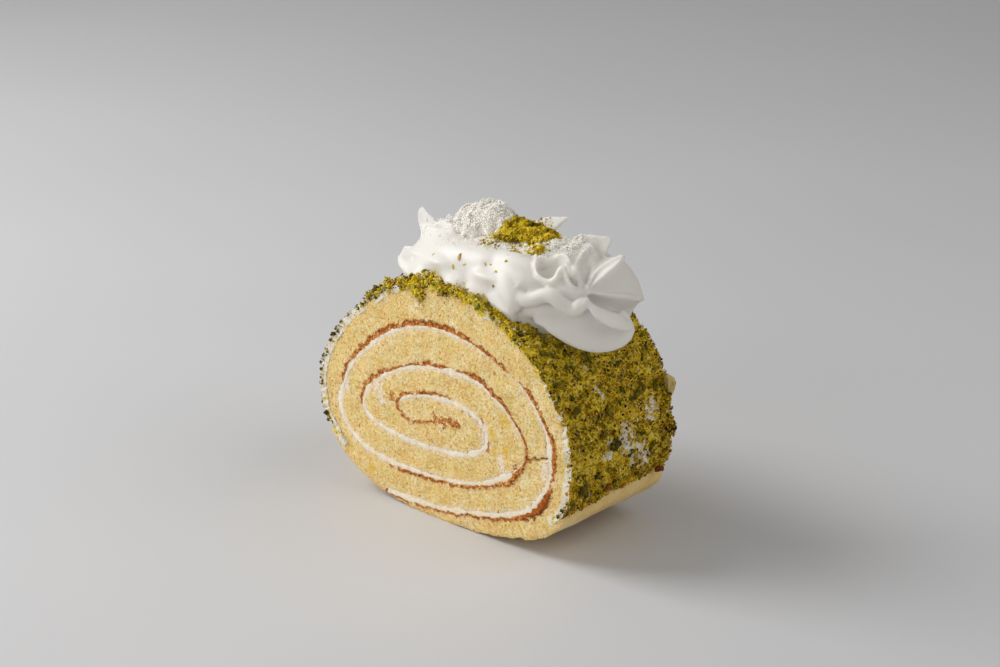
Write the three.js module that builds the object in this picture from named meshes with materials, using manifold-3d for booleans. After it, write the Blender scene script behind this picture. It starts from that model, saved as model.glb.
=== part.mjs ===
// A thick slice of swiss roll cake, lying on its side with its cut faces to the front and the back.
// A sponge sheet is rolled up round a thin spread of cream, coated outside with cream and crushed
// pistachio, and topped with whipped cream piped through a star nozzle.
//
// Units are millimetres. +X runs across the cut face, +Y along the roll's own axis, away from the
// front cut face, and +Z is up. The origin is on the flat underside, under the roll's heart.

import * as THREE from "three";
import { ImprovedNoise } from "three/addons/math/ImprovedNoise.js";
import { mergeVertices } from "three/addons/utils/BufferGeometryUtils.js";
import Module from "manifold-3d";

const wasm = await Module();
wasm.setup();

// ---------------------------------------------------------------- driving dimensions

// The slice.
const sliceLength = 48;
const gap = 0.3; // between neighbouring pieces
const cutFaceSwell = 0.5; // how far a cut face bulges at the middle
const cutFaceDrag = 0.3; // and how uneven it is
const cutFaceHump = 11;
const heartHeight = 38;

// The roll's outline, coat included: its lowest, rightmost, highest and leftmost points as [x, z].
const outlineExtremes = { bottom: [-3, -0.6], right: [52.5, 34], top: [-3, 79.5], left: [-58, 34] };

// How square each quarter of a turn is, as the exponent of a superellipse; 2 is an ellipse.
const outlineSquareness = { lowerRight: 3, upperRight: 2, upperLeft: 1.7, lowerLeft: 2.3 };
const sheetSquareness = { lowerRight: 2.5, upperRight: 2, upperLeft: 1.8, lowerLeft: 2.4 };

// The line of cream between the turns of the sheet: where each turn is lowest, rightmost, highest
// and leftmost in order, from the sheet's outer end at the bottom left to its inner end.
const turnExtremes = [
  [-27, 3.7],
  [44.8, 33],
  [0, 66],
  [-48, 31],
  [-16, 12.8],
  [34.2, 35],
  [2, 54],
  [-37.6, 31],
  [-10, 23.6],
  [19, 33.5],
  [1, 44.9],
  [-22, 36.4],
  [-14, 31.4],
  [3, 36],
];

// The cream between the turns.
const creamThickness = 1.5;
const creamThinnest = 0.5; // at the sheet's inner end
const creamUnevenness = 0.5;
const creamHump = 9;

// The sheet's outer end.
const outerEndAt = 0.04; // share of the first quarter turn where the cream starts
const sheetEndShare = 0.94; // share of the roll's outline where the sheet ends

// The coat of cream and pistachio.
const coatThickness = 2.2;
const coatEdgeLeft = 16; // height where it ends on each side
const coatEdgeRight = 13;
const coatEdgeTaper = 6; // height over which it thickens
const coatEdgeCover = 0.12; // share of its thickness where it ends
const coatRelief = 0.9; // how far the packed nut crumbs rise and dip
const coatHump = 5;
const coatStepsAlong = 11;
const crumbCount = 105;
const crumbTries = 12; // places tried for each crumb
const crumbSizeLargest = 2.1; // radius
const crumbSizeSmallest = 1.0;
const rearFlakes = [
  { size: [4.5, 2, 10], at: [51, 23.2, 46.5], turn: 0.1 },
  { size: [6.5, 2, 2], at: [53, 23.4, 31.8], turn: -0.1 },
];

// The whipped cream: a rope piped from left to right that turns to the front at its right end.
const ropePath = [
  [-29, -2, 82],
  [-19, -2, 82.5],
  [-4, -1.5, 83.5],
  [14, -1.5, 83],
  [27, 0, 82],
  [35, -2.5, 81.8],
  [42.2, -8.6, 83],
];
const ropeHalfWidth = 19.5;
const ropeRise = { left: 11.5, right: 16.5 }; // above its path
const ropeFall = { left: 10, right: 22 }; // below its path
const ropeThickens = [0.4, 0.85]; // shares of its length between which left turns to right

// The fins that the nozzle's teeth leave, in order round the rope. Angles are in degrees, read
// facing the star end and counter-clockwise from its right-hand side, at the star and along the
// body. Reach is a share of the rope's half width, at the star, along the body and at the left end.
// Dip is the depth of the hollow from a fin to the next along the body.
const ropeFins = [
  { star: -9, body: -14, reach: [1.1, 0.95, 0.8], dip: 0.12 },
  { star: 43, body: 42, reach: [1.0, 0.95, 0.9], dip: 0.12 },
  { star: 68, body: 68, reach: [0.5, 1.14, 0.9], dip: 0.08 },
  { star: 100, body: 118, reach: [0.95, 1.02, 1.15], dip: 0.14 },
  { star: 150, body: 172, reach: [0.6, 0.98, 1.02], dip: 0.07 },
  { star: 212, body: 198, reach: [0.5, 1.08, 0.85], dip: 0.08 },
  { star: 255, body: 226, reach: [0.55, 1.2, 0.8], dip: -0.05 },
  { star: 322, body: 300, reach: [1.05, 1.05, 0.8], dip: 0.1 },
];
const starCrestGrowth = 1.5; // distance over which a fin grows to its reach
const starDepthLength = 5; // distance over which the star's hollows fill
const starBlend = [4, 13]; // distance behind the star where it passes into the body
const endBlend = [4, 16]; // the same before the left end
const ruffleDepth = 0.08;
const ruffleLength = 19;
const hollowDeepest = 0.9; // the star's hollows, as a share of the fins' reach
const endHollowDepth = 0.6; // the same at the left end
const hollowRoundness = 0.75; // under 1 the hollows are round and the crests sharp

// What is strewn on the whipped cream: a heap of crushed pistachio between two of grated coconut.
const heaps = [
  { at: [12, -1], size: [10, 8, 3.5], bits: 16, bitSize: 2.2, seed: 11 },
  { at: [-8, 1], size: [11, 9, 3.5], bits: 17, bitSize: 2.1, seed: 12 },
  { at: [28, 2], size: [6, 7, 1.5], bits: 7, bitSize: 1.4, seed: 13 },
];
const goldenAngle = Math.PI * (3 - Math.sqrt(5));

// ---------------------------------------------------------------- helpers

// A repeatable draw of numbers from 0 to 1.
function numberDraw(seed) {
  let state = seed;
  return () => {
    state = (state * 1664525 + 1013904223) % 4294967296;
    return state / 4294967296;
  };
}

// A smooth unevenness from about -1 to 1 at a place, with humps of the size given.
const noise = new ImprovedNoise();
function unevenness(x, y, z, size) {
  return 1.6 * noise.noise(x / size + 0.37, y / size + 0.61, z / size + 0.19);
}

function toManifold(geometry) {
  const bare = new THREE.BufferGeometry();
  const source = geometry.index ? geometry.toNonIndexed() : geometry;
  bare.setAttribute("position", source.getAttribute("position"));
  const merged = mergeVertices(bare, 1e-4);
  return new wasm.Manifold(
    new wasm.Mesh({
      numProp: 3,
      vertProperties: merged.attributes.position.array,
      triVerts: new Uint32Array(merged.index.array),
    }),
  );
}

function fromManifold(solid) {
  const mesh = solid.getMesh();
  const geometry = new THREE.BufferGeometry();
  geometry.setAttribute("position", new THREE.BufferAttribute(mesh.vertProperties, 3));
  geometry.setIndex(new THREE.BufferAttribute(mesh.triVerts, 1));
  return geometry;
}

// The largest of the bodies that a cut leaves: loose scrap is dropped.
function largestBody(solid) {
  return solid.decompose().reduce((a, b) => (a.volume() > b.volume() ? a : b));
}

function named(name, geometry, color, roughness) {
  const material = new THREE.MeshStandardMaterial({ color, roughness, metalness: 0 });
  geometry.computeVertexNormals();
  const mesh = new THREE.Mesh(geometry, material);
  mesh.name = name;
  return mesh;
}

// ---------------------------------------------------------------- outlines

// One quarter of a turn between two extreme points: level at the first and upright at the second,
// or the other way round, with a superellipse's squareness.
function quarterPoint(from, to, startsLevel, squareness, share) {
  const angle = (share * Math.PI) / 2;
  const power = 2 / squareness;
  const onward = Math.sin(angle) ** power;
  const back = Math.cos(angle) ** power;
  const acrossShare = startsLevel ? onward : 1 - back;
  const upShare = startsLevel ? 1 - back : onward;
  return new THREE.Vector2(
    from[0] + (to[0] - from[0]) * acrossShare,
    from[1] + (to[1] - from[1]) * upShare,
  );
}

// A chain of quarter turns, counter-clockwise from a lowest point.
class TurnCurve extends THREE.Curve {
  constructor(extremes, squareness) {
    super();
    this.extremes = extremes;
    this.squareness = [
      squareness.lowerRight,
      squareness.upperRight,
      squareness.upperLeft,
      squareness.lowerLeft,
    ];
  }

  getPoint(t) {
    const quarters = this.extremes.length - 1;
    const place = Math.min(Math.max(t, 0), 1) * quarters;
    const quarter = Math.min(Math.floor(place), quarters - 1);
    return quarterPoint(
      this.extremes[quarter],
      this.extremes[quarter + 1],
      quarter % 2 === 0,
      this.squareness[quarter % 4],
      place - quarter,
    );
  }
}

const { bottom, right, top, left } = outlineExtremes;
const outlineCurve = new TurnCurve([bottom, right, top, left, bottom], outlineSquareness);
const creamLine = new TurnCurve(turnExtremes, sheetSquareness);

// Evenly spaced points of a curve with the unit normal on its left hand, which is inward here.
function pointsWithNormals(curve, count) {
  const points = curve.getSpacedPoints(count);
  return points.map((point, i) => {
    const before = points[Math.max(i - 1, 0)];
    const after = points[Math.min(i + 1, count)];
    const along = after.clone().sub(before).normalize();
    return { point, inward: new THREE.Vector2(-along.y, along.x), share: i / count };
  });
}

const outlineSteps = 96;
const outline = pointsWithNormals(outlineCurve, outlineSteps);
outline[0].inward.set(0, 1);
outline[outlineSteps].inward.set(0, 1);

// How much of the coat's thickness covers the outline at a point: 0 where the sponge is bare.
function coatCover({ point, share }) {
  const edge = share < 0.5 ? coatEdgeRight : coatEdgeLeft;
  return THREE.MathUtils.smoothstep(point.y, edge, edge + coatEdgeTaper);
}

// The coat's thickness at a point, with a gap below it that closes where the coat ends.
function coatDepth(place, gapBelow) {
  const cover = coatCover(place);
  return coatThickness * cover + gapBelow * Math.min(1, cover / coatEdgeCover);
}

function offsetPoint({ point, inward }, distance) {
  return point.clone().addScaledVector(inward, distance);
}

// The underside is flat where the roll's weight rests on it.
function onBase(point) {
  point.y = Math.max(point.y, 0);
  return point;
}

// ---------------------------------------------------------------- pieces in section

const creamSteps = 180;
const creamPoints = pointsWithNormals(creamLine, creamSteps);

// Half the thickness of the cream at a place on its line: uneven, and thin towards the inner end.
function creamHalfThickness({ point, share }) {
  const innerEnd = THREE.MathUtils.smoothstep(share, 0.8, 0.95);
  const even = THREE.MathUtils.lerp(creamThickness, creamThinnest, innerEnd);
  const wave = creamUnevenness * (1 - innerEnd) * unevenness(point.x, 0, point.y, creamHump);
  return (even + wave) / 2;
}

function creamSection() {
  const used = creamPoints.filter(({ share }) => share * (turnExtremes.length - 1) > outerEndAt);
  const outerSide = used.map((place) => offsetPoint(place, -creamHalfThickness(place)));
  const innerSide = used.map((place) => offsetPoint(place, creamHalfThickness(place)));
  return new THREE.Shape([...outerSide, ...innerSide.reverse()]);
}

function spongeSection() {
  const skin = outline.map((place) => onBase(offsetPoint(place, coatDepth(place, gap))));
  const startIndex = Math.round(sheetEndShare * outlineSteps);
  const around = [...skin.slice(startIndex, outlineSteps), ...skin.slice(0, startIndex - 1)];
  const clearance = (place) => creamHalfThickness(place) + gap;
  const innerTurns = creamPoints.map((place) => offsetPoint(place, clearance(place)));
  const outerTurns = creamPoints.map((place) => offsetPoint(place, -clearance(place)));
  return new THREE.Shape([...around, ...innerTurns, ...outerTurns.reverse()]);
}

// Runs a section through the whole slice.
function throughSlice(section, steps) {
  const geometry = new THREE.ExtrudeGeometry(section, {
    depth: sliceLength,
    steps,
    bevelEnabled: false,
    curveSegments: 1,
  });
  geometry.rotateX(Math.PI / 2);
  geometry.translate(0, sliceLength / 2, 0);
  return geometry;
}

// Moves each vertex of a geometry by the function given.
function moveVertices(geometry, move) {
  const position = geometry.getAttribute("position");
  const vertex = new THREE.Vector3();
  for (let i = 0; i < position.count; i += 1) {
    vertex.fromBufferAttribute(position, i);
    move(vertex, i);
    position.setXYZ(i, vertex.x, vertex.y, vertex.z);
  }
  return geometry;
}

// Both cut faces swell a little towards the roll's heart and are uneven where the knife dragged.
function swellCutFaces(geometry) {
  return moveVertices(geometry, (vertex) => {
    const share = vertex.y / (sliceLength / 2);
    const fromHeart = Math.hypot(vertex.x / right[0], (vertex.z - heartHeight) / heartHeight);
    const swell = cutFaceSwell * Math.max(0, 1 - fromHeart ** 2);
    const drag = cutFaceDrag * unevenness(vertex.x, Math.sign(share), vertex.z, cutFaceHump);
    vertex.y += share * (swell + drag);
  });
}

// ---------------------------------------------------------------- coat

function crumb(radius, draw) {
  const geometry = new THREE.IcosahedronGeometry(radius, 0);
  const flatness = 0.55 + 0.35 * draw();
  geometry.scale(1, 0.75 + 0.25 * draw(), flatness);
  geometry.rotateX(draw() * Math.PI);
  geometry.rotateY(draw() * Math.PI);
  geometry.rotateZ(draw() * Math.PI);
  return geometry;
}

// The coat's outer surface rises and dips with the nut crumbs packed into it.
function roughenCoat(geometry) {
  const places = new Map();
  const key = (x, z) => `${x.toFixed(2)} ${z.toFixed(2)}`;
  outline.forEach((place) => places.set(key(place.point.x, place.point.y), place));
  return moveVertices(geometry, (vertex) => {
    const place = places.get(key(vertex.x, vertex.z));
    const hump = unevenness(vertex.x, vertex.y, vertex.z, coatHump);
    const height = coatRelief * coatCover(place) * hump;
    vertex.x -= place.inward.x * height;
    vertex.z -= place.inward.y * height;
  });
}

// A shell over the top and both sides of the sponge, open at the bottom, where it thins to an edge.
function coatShell() {
  const bareClearance = 2;
  const outside = new THREE.Shape(outline.map(({ point }) => point.clone()));
  const inside = new THREE.Shape(
    outline.map((place) => {
      const ends = coatCover(place) < coatEdgeCover;
      return offsetPoint(place, ends ? -bareClearance : coatDepth(place, 0));
    }),
  );
  const body = toManifold(swellCutFaces(roughenCoat(throughSlice(outside, coatStepsAlong))));
  return body.subtract(toManifold(throughSlice(inside, 1).scale(1, 1.2, 1)));
}

// Larger crumbs first, each as far as may be from those before, none under the whipped cream.
function addCrumbs(coat, cream) {
  const draw = numberDraw(7);
  const covered = outline.filter((place) => coatCover(place) > 0.9);
  const placed = [];
  let solid = coat;
  for (let i = 0; i < crumbCount; i += 1) {
    const radius = THREE.MathUtils.lerp(crumbSizeLargest, crumbSizeSmallest, i / crumbCount);
    const tries = Array.from({ length: crumbTries }, () => {
      const place = covered[Math.floor(draw() * covered.length)];
      const y = (draw() - 0.5) * (sliceLength - radius);
      return new THREE.Vector3(place.point.x, y, place.point.y);
    });
    const space = (point) => Math.min(...placed.map((other) => other.distanceTo(point)), 99);
    const best = tries.reduce((a, b) => (space(a) > space(b) ? a : b));
    placed.push(best);
    const shape = crumb(radius, draw);
    const around = shape.clone().scale(1.4, 1.4, 1.4).translate(best.x, best.y, best.z);
    if (toManifold(around).intersect(cream).isEmpty()) {
      solid = solid.add(toManifold(shape.translate(best.x, best.y, best.z)));
    }
  }
  return solid;
}

// Two thin flakes of the coat stand out from the rear cut edge on the right.
function addRearFlakes(coat) {
  return rearFlakes.reduce((solid, { size, at, turn }) => {
    const flake = new THREE.IcosahedronGeometry(0.5, 1);
    flake.scale(...size);
    flake.rotateY(turn);
    flake.translate(...at);
    return solid.add(toManifold(flake));
  }, coat);
}

// ---------------------------------------------------------------- whipped cream

const rope = new THREE.CatmullRomCurve3(ropePath.map((point) => new THREE.Vector3(...point)));
const ropeLength = rope.getLength();

// How far the rope has grown from nothing to its full width, some way from one of its ends.
function grown(distance, quickness) {
  return 1 - Math.exp(-distance / quickness);
}

// A fin's angle and reach some way back from the star end.
function finAt(index, back) {
  const turn = Math.floor(index / ropeFins.length);
  const fin = ropeFins[index % ropeFins.length];
  const bodyShare = THREE.MathUtils.smoothstep(back, ...starBlend);
  const endShare = 1 - THREE.MathUtils.smoothstep(ropeLength - back, ...endBlend);
  const [atStar, inBody, atEnd] = fin.reach;
  const ruffle = Math.sin((back / ruffleLength) * 2 * Math.PI + index * 2.4);
  const nearStar = THREE.MathUtils.lerp(atStar, inBody, bodyShare);
  const reach = THREE.MathUtils.lerp(nearStar, atEnd, endShare);
  return {
    angle: THREE.MathUtils.lerp(fin.star, fin.body, bodyShare) + 360 * turn,
    reach: reach * (1 + ruffleDepth * bodyShare * ruffle),
    dip: fin.dip,
  };
}

// A point on the rope's surface, some way back from the star end. Its place round the rope is
// counted in fins: a whole number is a fin's crest, and the hollows lie between.
function ropePoint(back, round) {
  const fromLeft = ropeLength - back;
  const place = THREE.MathUtils.clamp(fromLeft / ropeLength, 0, 1);
  const centre = rope.getPointAt(place);
  const along = rope.getTangentAt(place);
  const side = new THREE.Vector3(0, 0, 1).cross(along).normalize();
  const up = along.clone().cross(side);

  const index = Math.floor(round);
  const share = round - index;
  const fin = finAt(index, back);
  const next = finAt(index + 1, back);
  const angle = THREE.MathUtils.degToRad(THREE.MathUtils.lerp(fin.angle, next.angle, share));
  const crest = THREE.MathUtils.lerp(fin.reach, next.reach, share);
  const starDepth = Math.exp(-back / starDepthLength);
  const endDepth = endHollowDepth * Math.exp(-fromLeft / starDepthLength);
  const starHollow = THREE.MathUtils.lerp(fin.dip, hollowDeepest, starDepth);
  const depth = Math.min(starHollow + endDepth, hollowDeepest);
  const hollow = Math.sin(share * Math.PI) ** hollowRoundness;
  const ends = grown(back, starCrestGrowth) * grown(fromLeft, starCrestGrowth);
  const spread = ends * crest * (1 - depth * hollow);

  const rightward = THREE.MathUtils.smoothstep(place, ...ropeThickens);
  const height = Math.sin(angle) > 0 ? ropeRise : ropeFall;
  const reachUp = THREE.MathUtils.lerp(height.left, height.right, rightward);
  return centre
    .addScaledVector(side, Math.cos(angle) * spread * ropeHalfWidth)
    .addScaledVector(up, Math.sin(angle) * spread * reachUp);
}

function ropeGeometry() {
  const stepsAround = ropeFins.length * 6;
  const stepsAlong = 30;
  const geometry = new THREE.SphereGeometry(1, stepsAround, stepsAlong);
  const uv = geometry.getAttribute("uv");
  return moveVertices(geometry, (vertex, i) => {
    const back = (ropeLength * (1 - Math.cos((1 - uv.getY(i)) * Math.PI))) / 2;
    const round = THREE.MathUtils.euclideanModulo(uv.getX(i), 1) * ropeFins.length;
    vertex.copy(ropePoint(back, round));
  });
}

// The roll with all that stands out from it, which the whipped cream lies on.
function rollBlank() {
  const section = new THREE.Shape(outline.map((place) => offsetPoint(place, -coatRelief - gap)));
  return toManifold(throughSlice(section, 1).scale(1, 2, 1));
}

// Bits of nut and coconut heaped on the whipped cream, each sunk a third into what it lies on.
function addHeap(cream, { at, size, bits, bitSize, seed }) {
  const draw = numberDraw(seed);
  const creamMesh = new THREE.Mesh(fromManifold(cream));
  const down = new THREE.Vector3(0, 0, -1);
  const ray = new THREE.Raycaster();
  const surfaceAt = (x, y) => {
    ray.set(new THREE.Vector3(x, y, 200), down);
    return ray.intersectObject(creamMesh)[0]?.point.z;
  };
  let solid = cream;
  for (let i = 0; i < bits; i += 1) {
    const fromMiddle = Math.sqrt((i + 0.5) / bits);
    const around = i * goldenAngle;
    const x = at[0] + fromMiddle * Math.cos(around) * size[0];
    const y = at[1] + fromMiddle * Math.sin(around) * size[1];
    const surface = surfaceAt(x, y);
    if (surface !== undefined) {
      const radius = bitSize * (0.75 + 0.5 * draw()) * (1.25 - 0.5 * fromMiddle);
      const rise = radius * 0.4 + size[2] * (1 - fromMiddle ** 2) * draw();
      const shape = crumb(radius + rise * 0.35, draw);
      solid = solid.add(toManifold(shape.translate(x, y, surface + rise * 0.5)));
    }
  }
  return solid;
}

// ---------------------------------------------------------------- the group

const pipedCream = largestBody(toManifold(ropeGeometry()).subtract(rollBlank()));
const whippedCream = heaps.reduce(addHeap, pipedCream);
const coat = largestBody(addRearFlakes(addCrumbs(coatShell(), pipedCream)));

const group = new THREE.Group();
group.add(named("sponge", swellCutFaces(throughSlice(spongeSection(), 1)), "#e6cf86", 0.9));
group.add(named("cream_filling", swellCutFaces(throughSlice(creamSection(), 1)), "#f3ead2", 0.6));
group.add(named("pistachio_coat", fromManifold(coat), "#8f8420", 0.85));
group.add(named("whipped_cream", fromManifold(whippedCream), "#f4f1ea", 0.5));

export default group;
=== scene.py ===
"""The looks of a thick slice of swiss roll: sponge, cream filling, pistachio coat and whipped cream.

Sizes and places are in millimetres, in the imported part's frame: X runs across the cut face, Y along
the roll from the front cut face to the rear one, and Z up. Each mesh becomes metres as it is made.
"""

import math

import bmesh
import bpy
import numpy as np
from mathutils import Matrix, Vector, kdtree, noise
from mathutils.bvhtree import BVHTree


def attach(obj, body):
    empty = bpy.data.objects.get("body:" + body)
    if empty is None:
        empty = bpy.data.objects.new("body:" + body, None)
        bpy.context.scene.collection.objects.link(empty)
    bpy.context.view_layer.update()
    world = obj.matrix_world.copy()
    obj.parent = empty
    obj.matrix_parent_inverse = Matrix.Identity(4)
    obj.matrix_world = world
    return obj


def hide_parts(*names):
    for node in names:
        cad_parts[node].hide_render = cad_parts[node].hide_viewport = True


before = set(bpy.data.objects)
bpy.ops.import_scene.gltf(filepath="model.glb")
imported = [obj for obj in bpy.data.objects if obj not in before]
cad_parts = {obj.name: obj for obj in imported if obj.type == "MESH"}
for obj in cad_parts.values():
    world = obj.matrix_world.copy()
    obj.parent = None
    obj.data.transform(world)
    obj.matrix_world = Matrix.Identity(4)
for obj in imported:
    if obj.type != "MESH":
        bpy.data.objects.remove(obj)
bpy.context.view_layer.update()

MM = 0.001

# ---------------------------------------------------------------- the slice's sizes

SLICE_LENGTH = 48
HALF_LENGTH = SLICE_LENGTH / 2
CUT_FACE_SWELL = 0.5  # how far the middle of a cut face stands proud
HEART_HEIGHT = 38  # of the middle of that swell

# Lowest, rightmost, highest and leftmost points of the roll's outline, coat included, as (x, z).
OUTLINE = [(-3, -0.6), (52.5, 34), (-3, 79.5), (-58, 34), (-3, -0.6)]
OUTLINE_SQUARENESS = (3, 2, 1.7, 2.3)
# How far the roll's own weight leaves the lower edge short of that outline.
OUTLINE_DRAWN_IN = [
    (0, 0.4), (0.15, 1.2), (0.23, 1.9), (0.35, 1.6), (0.5, 1.1), (0.65, 0.8), (0.9, 0), (3.7, 0), (4, 0.4),
]

# The line of cream between the turns of the sheet, from the sheet's outer end to its inner end.
CREAM_LINE = [
    (-27, 3.7), (44.8, 33), (0, 66), (-48, 31), (-16, 12.8), (34.2, 35), (2, 54),
    (-37.6, 31), (-10, 23.6), (19, 33.5), (1, 44.9), (-22, 36.4), (-14, 31.4), (3, 36),
]
SHEET_SQUARENESS = (2.5, 2, 1.8, 2.4) * 3 + (1.0,)
# How far the sheet is squeezed inward from that line.
SQUEEZED_IN = [
    (0, -0.8), (0.15, -0.4), (0.28, 0.6), (0.6, 0.5), (0.68, 1.1), (0.8, 1.8), (0.95, 1.2),
    (1.08, 1.6), (1.2, 1.3), (1.4, 1.7), (1.5, 1.3), (1.62, 2.3), (1.85, 1.9), (2, 1.7), (2.25, 1.0),
    (2.4, 1.6), (2.56, 2.2), (2.75, 1.4), (2.88, 1.6), (3.05, -0.3), (3.6, 0), (4, 1), (4.25, 1.7),
    (4.56, 3.1), (4.78, 2.5), (4.92, 1.1), (5.03, 1.2), (5.15, 2.3), (5.32, 2.8), (5.6, 2.3),
    (5.72, 1.3), (5.86, 1.6), (6, 2.2), (6.5, 2.1), (6.7, 1.3), (7, 0.5), (7.5, 0), (8, 0.1),
    (8.3, 0.7), (8.6, 1.5), (8.9, 1.9), (9.4, 1.8), (9.7, 2.5), (10, 3), (10.4, 2.8), (10.8, 2.2),
    (11, 1.9), (11.3, 0.9), (12, 0), (13, 0),
]

# Thickness of the cream and of the sheet's browned skin along that line. A place on the line is
# counted in quarter turns, so 1 is the first turn's rightmost point and 2 its highest.
CREAM_THICKNESS = [
    (0, 1.5), (0.5, 1.9), (0.8, 1.6), (1, 1.3), (1.08, 2.2), (1.2, 0.9), (1.5, 0.7), (1.62, 0.3),
    (1.72, 0.4), (1.85, 0.8), (2.5, 1.3), (2.9, 1.8), (3.4, 1.9), (3.8, 1.7), (4, 1.3),
    (4.45, 1.4), (4.6, 2.6), (4.72, 0.6), (5, 0.35), (5.5, 0.9), (5.9, 1.3), (6, 2.8), (6.1, 1.3),
    (6.5, 1.1), (6.7, 1.6), (6.85, 2.4), (7, 1.7), (7.5, 1.9), (8, 1.6), (8.45, 2.3), (8.6, 1.5),
    (8.8, 1.9), (9.1, 1), (9.5, 1.6), (10, 1.7), (10.5, 0.9), (11, 0.5), (11.5, 0.2), (13, 0.2),
]
BROWNED_THICKNESS = [
    (0, 0.5), (0.3, 0.6), (0.5, 0.8), (0.6, 1.6), (0.75, 1.9), (0.85, 1.4), (0.9, 0.5), (1, 1.3),
    (1.3, 1.1), (1.45, 1.2), (1.5, 0.1), (1.58, 0.2), (1.62, 0.9), (1.8, 1), (2, 1.3), (2.6, 1.2),
    (2.85, 0.7), (2.95, -0.4), (3.78, -0.4), (3.88, 0.7), (4, 0.8), (4.5, 0.8), (4.68, 1.4), (4.9, 1),
    (5.1, 0.9), (5.3, 0.6), (5.5, 1), (5.8, 1.3), (5.93, 0.3), (6, -0.3), (6.06, 0.9), (6.2, 1),
    (6.35, 0.2), (6.5, 0.9), (6.8, 1), (7, 0.8), (7.1, -0.4), (8.72, -0.4), (8.8, 0.9), (8.95, 0.7),
    (9.05, -0.4), (9.9, -0.4), (10, 0.8), (10.7, 0.9), (11.3, 0.9), (12.2, 0.8), (12.6, 0.4), (13, 0),
]

# The coat.
COAT_THICKNESS = 2.2
COAT_EDGE_LEFT = 16
COAT_EDGE_RIGHT = 13
COAT_EDGE_TAPER = 6
COAT_EDGE_RISES = 5  # from the front to the rear, on the right

# The whipped cream: a rope piped from left to right that turns to the front at its right end.
ROPE_PATH = [
    (-29, -2, 82), (-19, -2, 82.5), (-4, -1.5, 83.5), (14, -1.5, 83), (27, 0, 82),
    (35, -2.5, 81.8), (42.2, -8.6, 83),
]
ROPE_HALF_WIDTH = 19.5
ROPE_RISE = (11.5, 16.5)  # at the left and at the right
ROPE_FALL = (10, 22)
ROPE_THICKENS = (0.4, 0.85)

# The nozzle's fins: angle at the star and along the body, reach at the star, along the body and at
# the left end, and depth of the hollow to the next fin along the body.
ROPE_FINS = [
    (-9, -14, (1.1, 0.95, 0.7), -0.08),
    (43, 42, (1.0, 0.72, 0.7), 0.1),
    (68, 68, (0.5, 0.78, 0.7), 0.05),
    (108, 118, (0.78, 0.8, 0.9), 0.1),
    (150, 172, (0.6, 0.98, 0.75), 0.04),
    (212, 198, (0.5, 1.1, 0.8), 0.02),
    (255, 226, (0.55, 1.25, 0.8), -0.05),
    (322, 300, (1.05, 1.05, 0.7), 0.0),
]
STAR_CREST_GROWTH = 2.2
STAR_DEPTH_LENGTH = 3.8
STAR_BLEND = (4, 13)
END_BLEND = (4, 16)
RUFFLE_DEPTH = 0.08
RUFFLE_LENGTH = 19
RUFFLE_SHIFT = 2.4  # from one fin to the next, in radians
HOLLOW_DEEPEST = 0.9
END_HOLLOW_DEPTH = 0.6
HOLLOW_ROUNDNESS = 0.75

# ---------------------------------------------------------------- helpers for shapes


def smoothstep(value, low, high):
    share = np.clip((value - low) / (high - low), 0, 1)
    return share * share * (3 - 2 * share)


def lerp(a, b, share):
    return a + (b - a) * share


def unevenness(points, size, seed):
    """A smooth unevenness from about -1 to 1 at each point, with humps of the size given."""
    offset = Vector((0.37 + 7.1 * seed, 0.61 - 3.3 * seed, 0.19 + 5.7 * seed))
    return np.array([noise.noise(Vector(p) / size + offset) for p in points]) * 1.6


def pits(points, size):
    """How far each point is from the middle of the nearest of many scattered pits, in sizes."""
    return np.array([noise.voronoi(Vector(p) / size)[0][0] for p in points])


def quarter_point(start, end, starts_level, squareness, share):
    """A point of a quarter turn between two extreme points, with a superellipse's squareness."""
    angle = share * math.pi / 2
    power = 2 / squareness
    onward = max(math.sin(angle), 0) ** power
    back = max(math.cos(angle), 0) ** power
    across, up = (onward, 1 - back) if starts_level else (1 - back, onward)
    return lerp(start[0], end[0], across), lerp(start[1], end[1], up)


QUARTER_STEPS = 300  # worked-out points of a quarter turn
LINE_SPACING = 0.25  # between the points that are kept


class TurnLine:
    """A chain of quarter turns as evenly spaced points, each with its inward normal and its place."""

    def __init__(self, extremes, squareness, drawn_in):
        dense, places = [], []
        for quarter in range(len(extremes) - 1):
            for step in range(QUARTER_STEPS):
                share = step / QUARTER_STEPS
                starts_level = quarter % 2 == 0
                form = squareness[quarter % len(squareness)]
                dense.append(quarter_point(*extremes[quarter:quarter + 2], starts_level, form, share))
                places.append(quarter + share)
        dense = np.array(dense + [extremes[-1]])
        places = np.array(places + [len(extremes) - 1])
        lengths = np.concatenate([[0], np.cumsum(np.hypot(*np.diff(dense, axis=0).T))])
        count = int(lengths[-1] / LINE_SPACING) + 1
        at = np.linspace(0, lengths[-1], count)
        self.spacing = at[1]
        self.points = rows_at(at, lengths, dense)
        self.places = np.interp(at, lengths, places)
        self.points += self.find_inward() * table_value(drawn_in, self.places)[:, None]
        self.inward = self.find_inward()
        self.tree = kdtree.KDTree(count)
        for i, (x, z) in enumerate(self.points):
            self.tree.insert((x, 0, z), i)
        self.tree.balance()

    def find_inward(self):
        along = unit(np.gradient(self.points, axis=0))
        return np.column_stack([-along[:, 1], along[:, 0]])

    def nearest(self, xz):
        """For each point: its distance inward from the line, and the index of the nearest point."""
        index = np.array([self.tree.find((x, 0, z))[1] for x, z in xz])
        away = xz - self.points[index]
        inward = np.einsum("ij,ij->i", away, self.inward[index])
        distance = np.hypot(*away.T) * np.where(inward < 0, -1, 1)
        return distance, index


def table_value(table, place):
    places, values = zip(*table)
    return np.interp(place, places, values)


def rows_at(at, known_at, rows):
    """Rows of numbers, such as points, read in between the known ones."""
    return np.column_stack([np.interp(at, known_at, column) for column in rows.T])


def unit(rows):
    return rows / np.linalg.norm(rows, axis=1)[:, None]


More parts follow.
